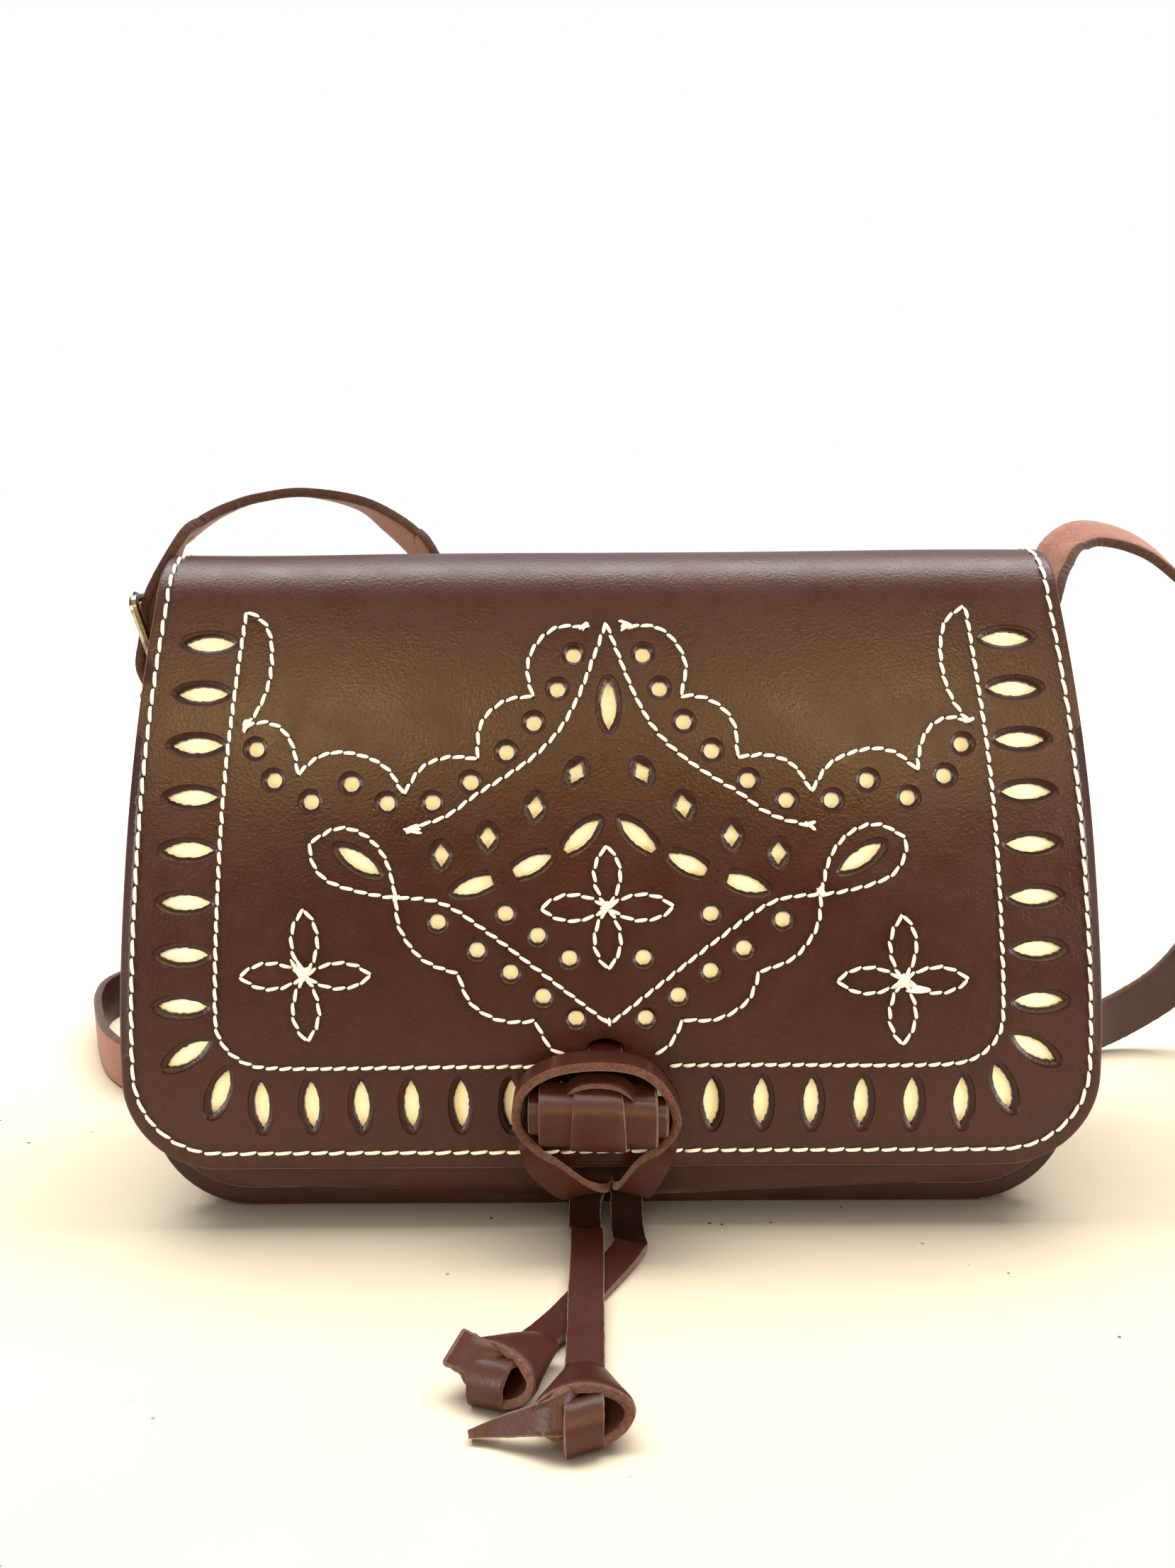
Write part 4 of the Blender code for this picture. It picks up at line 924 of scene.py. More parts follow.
def ornament_lines():
    """Every stitched line of the flap's pattern, with its stitch pitch."""
    left = [*SCALLOPS, TENT, SIDE_PETAL, *EYE, VEE, *LOWER_SCALLOPS, INNER_BORDER]
    lines = [smooth_mm(points) for points in left]
    lines += [smooth_mm([(-u + MIRROR_SHIFT, v) for u, v in points]) for points in left]
    for u, v, reach_u, reach_v in FLOWERS:
        for a, b in ((-reach_u, 0), (reach_u, 0), (0, reach_v), (0, -reach_v)):
            lines += [smooth_mm(line) for line in petal((u, v), (u + a, v + b))]
    return [(line, SHORT_PITCH) for line in lines]


def stitch(builder, start, end, rng, lift=0.0):
    """One stitch: a plump thread, aslant to its line, that dives into needle holes."""
    along = end - start
    across = Vector((-along.y, along.x)).normalized()
    slant = across * rng.uniform(0.12, 0.30) * MM
    start, end = start - slant, end + slant
    early, late = rng.uniform(0.0, 0.05), rng.uniform(-0.02, 0.05)
    start, end = start.lerp(end, early), end.lerp(start, late)
    rows = []
    height = rng.uniform(0.85, 1.15)
    for share, rise, size in ((0.0, -0.35, 0.3), (0.06, 0.0, 0.6), (0.2, 0.28, 0.95),
                              (0.5, 0.40, 1.1), (0.8, 0.28, 0.95), (0.94, 0.0, 0.6),
                              (1.0, -0.35, 0.3)):
        middle = start.lerp(end, share)
        ring = []
        for k in range(THREAD_SIDES):
            turn = math.tau * k / THREAD_SIDES
            radius = THREAD_RADIUS * size * (1 + 0.12 * math.cos(2 * turn - share * 9))
            point = middle + across * math.cos(turn) * radius
            rising = -rise * height * MM - lift
            ring.append((point.x, point.y, rising + math.sin(turn) * radius * 0.85))
        # Painted shade on the thread's sunken ends.
        rows.append(builder.add(ring, 0.6 if rise < 0 and not lift else 0.0))
    for first, second in zip(rows, rows[1:]):
        builder.band(first, second)
    # Painted shade on the end caps in the needle holes.
    for row, share in ((rows[0], 0.0), (rows[-1], 1.0)):
        middle = start.lerp(end, share)
        builder.cap(row, (middle.x, middle.y, 0.35 * MM - lift), dark=0.6)


TANGLES = (
    (-47.5, 83.4, 5, 2.6, 0.3), (48.3, 83.6, 2, 1.8, -0.4), (-5.6, 132.8, 3, 1.6, 0.2),
    (4.6, 133.2, 3, 2.2, 0.0), (-88.2, 108.6, 4, 1.8, 0.4), (87.5, 108.4, 2, 1.4, 0.0),
    (-51.9, 66.6, 2, 1.4, 1.2), (51.0, 67.4, 4, 1.6, -0.8), (-0.8, 35.8, 2, 1.3, 1.6),
    (-75.4, 49.4, 8, 3.2, -0.5), (-74.2, 47.7, 5, 1.8, 0.9), (-0.7, 63.8, 7, 2.0, 0.6),
    (70.9, 45.6, 6, 1.9, 0.8), (74.4, 43.6, 5, 3.0, -0.5),
)


def tangle(builder, place_at, rng):
    """Loose crossing threads at the end of a line; place_at is (u, v, count, reach, turn)."""
    u, v, count, reach, turn = place_at
    for i in range(count):
        angle = turn + rng.uniform(-0.7, 0.7)
        half = Vector((math.cos(angle), math.sin(angle))) * rng.uniform(0.5, 1.0) * reach * MM
        stray = Vector((rng.uniform(-1, 1), rng.uniform(-1, 1)))
        middle = Vector((u, v)) * MM + stray * 0.3 * reach * MM
        stitch(builder, middle - half, middle + half, rng, (0.25 + 0.16 * i) * MM)


def sew(builder, needles, line, pitch, rng):
    """Stitches along a line; the needle holes go to needles."""
    points = walked(line, pitch)
    for first, second in zip(points, points[1:]):
        stitch(builder, first, second, rng)
    needles += points


def needle_points(needles, clear_of):
    """Small dents (u, v, w, dark) of the needle holes, without double ones."""
    found = []
    kept = []
    for point in needles:
        if any((point - other).length < NEEDLE_SPACING for other in kept[-400:]):
            continue
        if any(low_u < point.x < high_u and low_v < point.y < high_v
               for low_u, high_u, low_v, high_v in clear_of):
            continue
        kept.append(point)
        # Painted shade in the needle hole, fainter round its edge.
        found.append((point.x, point.y, 0.45 * MM, 1.0))
        for k in range(6):
            turn = math.tau * k / 6
            found.append((point.x + NEEDLE_RADIUS * math.cos(turn),
                          point.y + NEEDLE_RADIUS * math.sin(turn), 0.03 * MM, 0.35))
    return found


# Ribbons: strap, thong, tab and keeper

def ribbon(name, centres, sides, width, thick, materials, ragged=0.12 * MM, taper=None,
           closed=False, dark=None, bare=0.0):
    """Leather ribbon with rounded grain side, rough cut edges and a flesh side.

    materials are those of the outer face, the cut edges and the inner face; bare is the
    length of the far end whose grain is torn off.
    """
    builder = Builder()
    half, deep = width / 2, thick / 2
    soft = min(0.45 * MM, deep * 0.6)
    section = (
        (-half, -deep + soft, 1), (-half + soft * 0.4, -deep, 2), (-half * 0.5, -deep, 2),
        (0, -deep, 2), (half * 0.5, -deep, 2), (half - soft * 0.4, -deep, 1),
        (half, -deep + soft, 1), (half, 0, 1), (half, deep - soft, 1),
        (half - soft, deep, 0), (half * 0.5, deep, 0), (0, deep, 0), (-half * 0.5, deep, 0),
        (-half + soft, deep, 1), (-half, deep - soft, 1), (-half, 0, 1),
    )
    rows = []
    count = len(centres)
    for i, centre in enumerate(centres):
        if closed:
            ahead = centres[(i + 1) % count] - centres[i - 1]
        else:
            ahead = centres[min(i + 1, count - 1)] - centres[max(i - 1, 0)]
        ahead.normalize()
        side = (sides[i] - ahead * sides[i].dot(ahead)).normalized()
        out = side.cross(ahead)
        size = taper(i / (count - 1)) if taper else 1
        ring = []
        for a, b, slot in section:
            tear = 0.0
            if abs(a) > half * 0.9:
                place_at = (centre + side * a) * 900
                tear = ragged * (noise.noise(place_at) + 0.5 * noise.noise(place_at * 2.7))
            ring.append(centre + side * (a * size + math.copysign(tear, a) * size) + out * b)
        # Painted shade along the ribbon, given by dark.
        shade = dark(i / (count - 1)) if dark else 0.0
        rows.append(builder.add(ring, shade))
    slots = [slot for _, _, slot in section]
    pairs = list(zip(rows, rows[1:]))
    if closed:
        pairs.append((rows[-1], rows[0]))
    for i, (first, second) in enumerate(pairs):
        torn = (centres[-1] - centres[i]).length < bare
        builder.band(first, second, 1 if torn else slots)
    if not closed:
        builder.cap(rows[0], centres[0], 1)
        builder.cap(rows[-1], centres[-1], 1)
    return builder.make(name, materials, smooth_angle=50)


def hand_over(piece, node, body="bag"):
    """The piece replaces its node and rides on a body."""
    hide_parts(node)
    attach(piece, body)


# Flap and back

def make_flap(looks):
    """Pierced leather in one with the back, its stitching, the pale inlay and the lining."""
    rng = random.Random(7)
    cuts = [pressed_cut(*place_at, rng) for place_at in cut_places()]
    cuts.append(slit_cut(NECK_WIDTH + 2 * GAP, NECK_THICK + 2 * GAP, OUTER_THICK, SLIT_U, SLIT_V,
                         1.6 * MM))
    thread = Builder()
    needles = []
    for line, pitch in ornament_lines():
        sew(thread, needles, line, pitch, rng)
    for place_at in TANGLES:
        tangle(thread, place_at, rng)
    border = [Vector(p) for p in one_piece_outline(BORDER_STITCH_INSET)]
    border.append(border[0])
    sew(thread, needles, border, LONG_PITCH, rng)
    dents = needle_points(needles, [extent(rings[0], 0.4 * MM) for rings in cuts])
    leather = slab("flap_and_back", one_piece_outline(0, FLAP_LIP), place, 0, OUTER_THICK,
                   [looks["flap"], looks["edge"], looks["inside"]], 0.7 * MM, 2.4 * MM, cuts, dents)
    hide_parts("flap_outer", "back_panel")
    stitches = thread.make("flap_stitching", [looks["thread"]], place, 60)
    for piece in (leather, stitches):
        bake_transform(piece)

    plain_slit = [slit_cut(NECK_WIDTH + 4 * MM, NECK_THICK + 3 * MM, INLAY_THICK, SLIT_U, SLIT_V,
                           3 * MM)]
    inlay = slab("flap_inlay_leather", mirrored(flap_outline(INLAY_INSET, INLAY_INSET, INLAY_TOP)),
                 place, INLAY_W - GAP + 0.02 * MM, INLAY_THICK,
                 [looks["cream"], looks["cream"], looks["cream"]], 0.2 * MM, 4 * MM, plain_slit)
    hand_over(inlay, "flap_inlay", "flap")
    slit = [slit_cut(NECK_WIDTH + 4 * MM, NECK_THICK + 3 * MM, LINING_THICK + GAP, SLIT_U, SLIT_V,
                     3 * MM)]
    lining = slab("flap_lining_leather", mirrored(flap_outline(0, 0, LINING_TOP)), place,
                  LINING_W - GAP / 2, LINING_THICK + GAP / 2,
                  [looks["inside"], looks["edge"], looks["inside"]], 0.4 * MM, 4 * MM, slit)
    hand_over(lining, "flap_lining", "flap")


# Body

def panel_half(inset, lift, corner):
    """Right lower quarter of a panel's outline, from the base to its straight side."""
    half_width = BODY_HALF_WIDTH + PANEL_OVERHANG - inset
    radius = corner - inset
    return arc_points((half_width - radius, lift + radius), radius, -90, 0, 14)


PANEL_SHORT = 2.2 * MM
SHADE_HEIGHT = 7 * MM
SHADE_RADIUS = 11 * MM


def height_to_v(z):
    """v of the front panel's flat pattern at height z below the flap's lower edge."""
    return (z - FLAP_BOTTOM_Z + PANEL_W * math.sin(LEAN_BOTTOM)) / math.cos(LEAN_BOTTOM)


def make_front_panel(looks):
    """Front panel with the thong's slot, darkened round the slot, in the loop's shade."""
    base = height_to_v(PANEL_LIFT + PANEL_SHORT)
    half = panel_half(0, base, BODY_CORNER)
    edge = half[-1][0]
    half += [(edge, FRONT_PANEL_TOP * i / 3) for i in (1, 2)]
    half += [(edge - 2 * MM, FRONT_PANEL_TOP),
             (edge * 0.6, FRONT_PANEL_TOP - FRONT_PANEL_DIP * 0.6),
             (edge * 0.2, FRONT_PANEL_TOP - FRONT_PANEL_DIP)]
    slot = slit_cut(LEG_SPREAD + LOOP_WIDTH + 2 * GAP, 2 * (THONG_THICK + 3 * GAP), PANEL_THICK,
                    0, SLOT_V)
    panel = slab("front_panel_leather", mirrored(half), place, PANEL_W, PANEL_THICK,
                 [looks["body"], looks["edge"], looks["inside"]], 0.8 * MM, 2.6 * MM, [slot])
    shade = panel.data.attributes["dark"].data
    for vertex, value in zip(panel.data.vertices, shade):
        near = math.hypot(vertex.co.x, (vertex.co.z - SHADE_HEIGHT) * 1.2)
        value.value = max(0.0, min(1.0, 1.7 - near / SHADE_RADIUS))
    hand_over(panel, "front_panel")


def make_front_welt(looks):
    """U-shaped seam strip that stands a little proud of the front panel."""
    proud = WELT_PROUD - PANEL_OVERHANG
    base = height_to_v(WELT_LIFT)
    outer = panel_half(-proud, base, BODY_CORNER)
    inner = panel_half(WELT_WIDTH - proud, base + WELT_WIDTH, BODY_CORNER)
    outer.append((outer[-1][0], FRONT_PANEL_TOP - FRONT_PANEL_DIP))
    inner.append((inner[-1][0], FRONT_PANEL_TOP - FRONT_PANEL_DIP))
    right = outer + inner[::-1]
    left = [(-u, v) for u, v in inner] + [(-u, v) for u, v in reversed(outer)]
    welt = slab("front_seam_strip", right + left, place, WELT_W, WELT_THICK,
                [looks["body"], looks["edge"], looks["body"]], 0.7 * MM, 2.4 * MM)
    # Painted shade over the whole strip, which sits in the shadow of the panel's edge.
    welt.data.attributes["dark"].data.foreach_set("value", [0.6] * len(welt.data.vertices))
    hand_over(welt, "front_welt")


SIDE_SAG = 1.6 * MM
EDGE_ROUND = 0.5 * MM


def gusset_line(inset):
    """Right half of the gusset's outline in front view, from the base to its top."""
    half = BODY_HALF_WIDTH - inset
    radius = BODY_CORNER - inset
    found = arc_points((half - radius, inset + radius), radius, -90, 0, 14)
    rise = FLARE_START - BODY_CORNER
    found += [(half, BODY_CORNER + rise * i / 16) for i in range(1, 17)]
    for i in range(1, 13):
        up = (BODY_HEIGHT - FLARE_START) * i / 12
        found.append((half + up * math.tan(FLARE), FLARE_START + up))
    return found


def make_gusset(looks):
    """Side and base band, rounded at its cut edges and slightly hollow at its sides."""
    builder = Builder()
    lines = []
    for inset in (0, GUSSET_THICK):
        right = gusset_line(inset)
        floor = [(x, inset) for x in (60 * MM, 30 * MM, 0, -30 * MM, -60 * MM)]
        lines.append(right[::-1] + floor + [(-x, z) for x, z in right])
    columns = 18
    back = BACK_Y - PANEL_THICK - GAP
    rows = []
    for (outer, inner) in zip(*lines):
        front = front_y(outer[1], GUSSET_W)
        ring = []
        sag = SIDE_SAG * min(1.0, max(0.0, outer[1] - 12 * MM) / (60 * MM))
        toward = (Vector(inner) - Vector(outer)).normalized()
        there = range(columns + 1)
        for base, walk, side in ((outer, there, 1), (inner, reversed(there), -1)):
            for k in walk:
                y = front + (back - front) * k / columns
                bow = sag * math.sin(math.pi * k / columns) ** 2
                edge = EDGE_ROUND if k in (0, columns) else 0.0
                x, z = Vector(base) + toward * (bow + side * edge)
                ring.append((x, y, z))
        rows.append(builder.add(ring))
    slots = [0] * columns + [1] + [2] * columns + [1]
    for first, second in zip(rows, rows[1:]):
        builder.band(first, second, slots)
    for row in (rows[0], rows[-1]):
        for k in range(columns):
            builder.face((row[k], row[k + 1], row[-k - 2], row[-k - 1]), 1)
    gusset = builder.make("gusset_leather", [looks["body"], looks["edge"], looks["inside"]])
    hand_over(gusset, "gusset")


# Toggle

def squared(radius, turn):
    """Radius of a roll that is pressed a little flat on top and in front."""
    a = abs(math.cos(turn - ROLL_FACING))
    b = abs(math.sin(turn - ROLL_FACING))
    return radius * 0.96 / (a ** 2.7 + b ** 2.7) ** (1 / 2.7)


# Share of the half length, drop of the radius in millimetres and darkness, painted shade at the
# roll's left end
ROLL_STATIONS = ((-1, 0.5, 0.4), (-0.99, 0.15, 0.2), (-0.95, 0, 0.1), (-0.6, 0, 0), (0, 0, 0),
                 (0.6, 0, 0), (0.93, 0, 0), (0.96, 0.1, 0), (1, 0.75, 0))

# Share of the radius, depth in millimetres and darkness (painted shade in the grooves) of the rings
# at a roll's end
SPIRAL_RINGS = ((0.80, 0.0, 0.1), (0.72, -0.9, 0.9), (0.64, 0.0, 0.1), (0.42, 0.0, 0.1),
                (0.34, -0.9, 0.9), (0.26, 0.0, 0.1))


def roll_layer(builder, half, radius, flare=0.0):
    """One wrap of the toggle: a roll along u with a wider bare edge at its right end."""
    turns = [math.tau * k / 48 for k in range(48)]
    rows = []
    for share, drop, dark in ROLL_STATIONS:
        ring = []
        for turn in turns:
            r = squared(radius, turn) - drop * MM
            x = half * share - flare * share * math.sin(turn - math.pi / 6)
            ring.append((x, r * math.sin(turn), r * math.cos(turn)))
        rows.append(builder.add(ring, dark))
    for i, (first, second) in enumerate(zip(rows, rows[1:])):
        builder.band(first, second, 1 if i in (0, len(rows) - 2) else 0)
    spiral_end(builder, rows[0], -half, radius, -1, turns)
    spiral_end(builder, rows[-1], half, radius, 1, turns)


def spiral_end(builder, row, x, radius, outward, turns):
    """End of a roll, with the grooves between its turns and painted shade in them."""
    previous = row
    for ring_share, depth, dark in SPIRAL_RINGS:
        ring = []
        for turn in turns:
            r = radius * (ring_share - 0.02 * math.cos(turn))
            ring.append((x + outward * depth * MM, r * math.sin(turn), r * math.cos(turn)))
        current = builder.add(ring, dark)
        builder.band(previous, current, 1)
        previous = current
    builder.cap(previous, (x, 0, 0), 1)


ARCH_CENTRE = 0.6 * MM
ARCH_HALF_WIDTH = 8.0 * MM
ARCH_HEIGHT = 2.8 * MM
ARCH_EDGE_TURN = 65
ARCH_BACK_TURN = 150


def lip_rise(x):
    """How far the arch in the wide wrap stands off the roll at x."""
    share = min(1.0, abs(x - ARCH_CENTRE) / ARCH_HALF_WIDTH)
    return ARCH_HEIGHT * (1 - share ** 3)


def lip_turn(x):
    """Angle round the roll at which the arch's cut edge lies."""
    if x < 0:
        return math.radians(ARCH_EDGE_TURN - 4 * min(1.0, -x / (7 * MM)) ** 2)
    return math.radians(ARCH_EDGE_TURN - 16 * min(1.0, x / (8.4 * MM)) ** 2.5)


# Places along the roll, in fourteenths of its half length, closer at the arch's sides
ARCH_STATIONS = (-14, -13.85, -13.3, -11, -8.5, -7.5, -7.2, -6.8, -6.2, -5.4, -4, -2, 0.6, 3, 5,
                 6.3, 7.1, 7.8, 8.2, 8.7, 10, 12, 13.0, 13.4, 14)


def arched_wrap(builder, half, radius):
    """The wide wrap, with an arch whose cut edge stands over the narrow wrap, and painted shade
    under that edge.
    """
    rows = []
    turns = []
    back = math.radians(ARCH_BACK_TURN)
    for x in ARCH_STATIONS:
        x *= half / 14
        end_drop = 0.5 * MM if x == -half else 0.75 * MM if x == half else 0.0
        rise = lip_rise(x)
        edge = lip_turn(x)
        open_share = min(1.0, rise / (1.2 * MM))
        ring = []
        dark = []
        for k in range(15):
            turn = back + (edge - back) * k / 14
            share = min(1.0, (back - turn) / math.radians(45))
            share = share * share * (3 - 2 * share)
            flare = 0.5 * MM * open_share * max(0.0, k - 10) / 4
            ring.append((turn, squared(radius, turn) + rise * share + flare))
            dark.append(0.0)
        top = ring[-1][1]
        under = max(squared(radius, edge), top - 1.5 * MM)
        # Painted shade under the arch's cut edge, fading away below it.
        for share, turn in ((0.3, -1.0), (0.7, -1.0), (1, 0)):
            ring.append((edge + math.radians(turn) * open_share, top + (under - top) * share))
            dark.append(0.15)
        for turn, drop in ((12, 0.2), (24, 0.5), (26, 3)):
            ring.append((edge + math.radians(turn) * open_share, under - drop * MM * open_share))
            dark.append(open_share)
        low = edge + math.radians(20) * open_share
        for k in range(32):
            turn = low + (back - math.tau - low) * k / 32
            ring.append((turn, squared(radius, turn)))
            dark.append(open_share * max(0.0, 1 - k / 5))
        points = [(x, (r - end_drop) * math.sin(turn), (r - end_drop) * math.cos(turn))
                  for turn, r in ring]
        turns = [turn for turn, _ in ring]
        rows.append(builder.add(points, dark))
        if x == -half:
            first_turns = turns
    for i, (first, second) in enumerate(zip(rows, rows[1:])):
        at_end = i in (0, len(rows) - 2)
        builder.band(first, second, [1 if at_end or 13 < k < 18 else 0 for k in range(len(first))])
    spiral_end(builder, rows[0], -half, radius, -1, first_turns)
    spiral_end(builder, rows[-1], half, radius, 1, turns)


def make_toggle(looks):
    """Rolled strip: core, arched wide wrap, narrow wrap, a neck and a tab inside the flap."""
    middle_w = -GAP - NECK_THICK - ROLL_RADII[1] + NECK_SUNK

    def to_world(x, b, c):
        """x along the roll, b upward and c outward from its axis."""
        return place(TOGGLE_U + x, TOGGLE_V + b - x * TOGGLE_TILT, middle_w - c)

    pieces = []
    (core, wide, narrow), (core_half, wide_half, narrow_half) = ROLL_RADII, ROLL_HALF_LENGTHS
    core_wrap = Builder()
    roll_layer(core_wrap, core_half, core)
    wide_wrap = Builder()
    arched_wrap(wide_wrap, wide_half, wide)
    narrow_wrap = Builder()
    roll_layer(narrow_wrap, narrow_half, narrow, 0.6 * MM)
    for i, builder in enumerate((core_wrap, wide_wrap, narrow_wrap)):
        pieces.append(builder.make(f"toggle_wrap_{i + 1}", [looks["thong"], looks["edge"]],
                                   to_world, 35))
    centres = []
    half_w = NECK_THICK / 2
    for v, w in ((TOGGLE_V + 2 * MM, -GAP - half_w), (TOGGLE_V + 8 * MM, -GAP - half_w),
                 (SLIT_V - 3.5 * MM, -GAP - half_w), (SLIT_V - 1.2 * MM, -GAP - half_w * 0.6),
                 (SLIT_V - 0.3 * MM, 1.2 * MM), (SLIT_V, 3 * MM), (SLIT_V - 0.4 * MM, TAB_W),
                 (SLIT_V - 2.5 * MM, TAB_W + half_w),
                 (SLIT_V + 1.7 * MM - TAB_DROP, TAB_W + half_w * 0.9)):
        centres.append(place(SLIT_U, v, w))
    centres = smooth_route(centres, 5)
    neck = ribbon("toggle_neck", centres, [Vector((1, 0, 0))] * len(centres), NECK_WIDTH,
                  1.2 * MM, thong_looks(looks), 0.08 * MM)
    pieces.append(neck)
    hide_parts("toggle")
    for piece in pieces:
        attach(piece, "flap")


# Thong

LOOP_TOP_V = 28.6 * MM
LOOP_TOP_W = -7.4 * MM

LOOP_THICK = 2.2 * MM

# Places (u, v, w) of the loop's right half and the direction across it there
LOOP_HALF = (
    ((7.1, -6.0, -2.2), (0.8, -0.5, 0.35)),
    ((12.5, 1.0, -5.4), (0.58, -0.68, 0.45)),
    ((16.4, 6.4, -5.8), (0.38, -0.42, 0.83)),
    ((19.5, 14.0, -5.9), (0.06, -0.05, 1)),
    ((18.0, 22, -6.4), (0, 0, 1)),
    ((11, 27, -7.0), (0, 0, 1)),
)


# How much nearer the middle the loop's right side lies, from its slot to its top
LOOP_RIGHT_PULL = (0, 0, 0, 0, 0, 0.6, 2.2, 1.2)


def loop_route():
    """Thong's way in flat-pattern places: out of the slot, round the toggle and back."""
    leg = LEG_SPREAD / 2
    half = [((leg, LOOP_SLOT_V, PANEL_W + PANEL_THICK - GAP), (1, 0, 0)),
            ((leg + 0.4 * MM, LOOP_SLOT_V - 0.2 * MM, PANEL_W - 2.6 * MM), (1, 0, 0.2))]
    half += [((u * MM, v * MM, w * MM), across) for (u, v, w), across in LOOP_HALF]
    left, right = [], []
    for i, ((u, v, w), (a, b, c)) in enumerate(half):
        shift = TOGGLE_U * min(1, max(0, i - 1) / 2)
        left.append(((shift - u, v, w), (-a, b, c)))
        right.append(((shift + u - LOOP_RIGHT_PULL[i] * MM, v, w), (a, b, c)))
    top = ((TOGGLE_U, LOOP_TOP_V, LOOP_TOP_W), (0, 0, 1))
    return left + [top] + right[::-1]


def make_loop(looks):
    """Band of the thong that goes round the toggle, its width turned to face outward."""
    route, across = [], []
    for (u, v, w), (a, b, c) in loop_route():
        lean = side_view(v)[2]
        route.append(place(u, v, w))
        across.append(Vector((a, 0, 0)) + depth_direction(v) * c
                      + Vector((0, math.sin(lean), math.cos(lean))) * b)
    steps = 12
    loop = ribbon("thong_loop", smooth_route(route, steps), smooth_route(across, steps),
                  LOOP_WIDTH, LOOP_THICK, thong_looks(looks), 0.22 * MM)
    hand_over(loop, "closure_loop")


TAIL_LEFT = (
    (-5.2, -30.4, 5.2), (-6.5, -33.3, 3.6), (-6.8, -37.4, 2.1), (-6.7, -42.9, 1.2),
    (-6.5, -44.8, 1.5), (-6.2, -46.6, 2.4), (-6.2, -56.6, 3.0), (-6.3, -64, 3.3),
    (-6.5, -72, 3.4), (-6.5, -81, 3.5), (-6.6, -89, 3.9), (-6.7, -96, 4.4),
)
TAIL_RIGHT = (
    (3.9, -30.6, 5.3), (3.7, -35.0, 3.4), (3.6, -41.2, 1.5), (3.9, -47.2, 1.2),
    (4.2, -49.6, 1.4), (3.9, -51.4, 2.0), (2.4, -54.4, 1.7), (0.0, -58.2, 1.3),
    (-3.4, -63.6, 1.1), (-7.3, -70, 1.1), (-11.1, -76.4, 1.2), (-15.0, -82.6, 1.8),
    (-18.5, -88.2, 3.0), (-20.5, -91.4, 3.8),
)
TAIL_RIGHT_ACROSS = (
    *[(1, 0, 0)] * 3, (0.98, -0.2, 0), (0.93, -0.36, 0), (0.86, -0.5, 0), *[(0.84, -0.54, 0)] * 8,
)
TAIL_WIDTH = 7.9 * MM
CREASE_LEFT = 4.3
CREASE_RIGHT = 4.6


def make_tail(name, node, route, across, crease, looks):
    """Tail of the thong with painted shade where it hangs under the bag; crease counts route
    points.
    """
    steps = 10
    centres = smooth_mm(route, steps)
    sides = smooth_route(across, steps)
    last = len(centres) - 1
    fold = crease * steps / last
    # Painted shade of the bag on the hanging part, fading out past the crease.
    tail = ribbon(name, centres, sides, TAIL_WIDTH, THONG_THICK,
                  thong_looks(looks), 0.2 * MM,
                  dark=lambda share: 0.9 if share < fold else max(0.0, 0.25 - (share - fold)))
    hand_over(tail, node)
    running_lengths(centres)[-1]


KNOT_LEFT = (-6.8, -112.0, 0)
KNOT_RIGHT = (-24.6, -100.6, 0)
KNOT_SIDES = 48

# Distance along the knot, half width, half height, lift off the floor and darkness, painted shade
# inside the collar
KNOT_RINGS = (
    (16.5, 3.9, 1.3, 4.0, 0.1), (15.0, 4.2, 2.0, 4.2, 0.0), (13.0, 4.9, 2.9, 4.6, 0.0),
    (10.0, 6.0, 3.8, 5.2, 0.0), (6.0, 7.6, 4.5, 5.8, 0.0), (2.2, 9.2, 5.2, 6.3, 0.0),
    (0.7, 9.5, 5.2, 6.4, 0.0), (0.0, 9.2, 5.0, 6.4, 0.0), (0.0, 7.8, 3.7, 6.3, 0.1),
    (0.5, 7.3, 3.2, 6.2, 0.35), (1.4, 6.0, 2.6, 5.9, 0.4), (2.4, 4.2, 1.8, 5.6, 0.7),
)
KNOT_RIM = (7, 8)
KNOT_BLOCK = (
    (0.3, 5.0, 6.0), (0.1, 2.2, 8.3), (0.0, -0.2, 8.4), (-0.1, -2.2, 6.4), (-0.1, -2.8, 3.6),
    (-0.1, -1.8, 1.4), (0, 1.5, 1.0),
)
KNOT_END_LEFT = (
    (-7.4, -107.6, 6.4), (-9.6, -111.2, 7.4), (-12.2, -112.8, 7.1), (-15.7, -111.9, 5.7),
    (-20.8, -110.9, 3.8), (-24.8, -110.3, 2.4), (-28.6, -110.3, 1.4),
)
KNOT_END_RIGHT = (
    (-23.0, -98.6, 5.4), (-25.0, -99.6, 7.2), (-27.4, -99.2, 8.4), (-30.0, -97.4, 8.8),
    (-32.8, -94.6, 8.2),
)
KNOT_TURN_RIGHT = -35.6
BARE_TIP = 1.3 * MM
BLOCK_ACROSS = (0.96, 0.26, 0.12)
BLOCK_WIDTH = 7.4 * MM


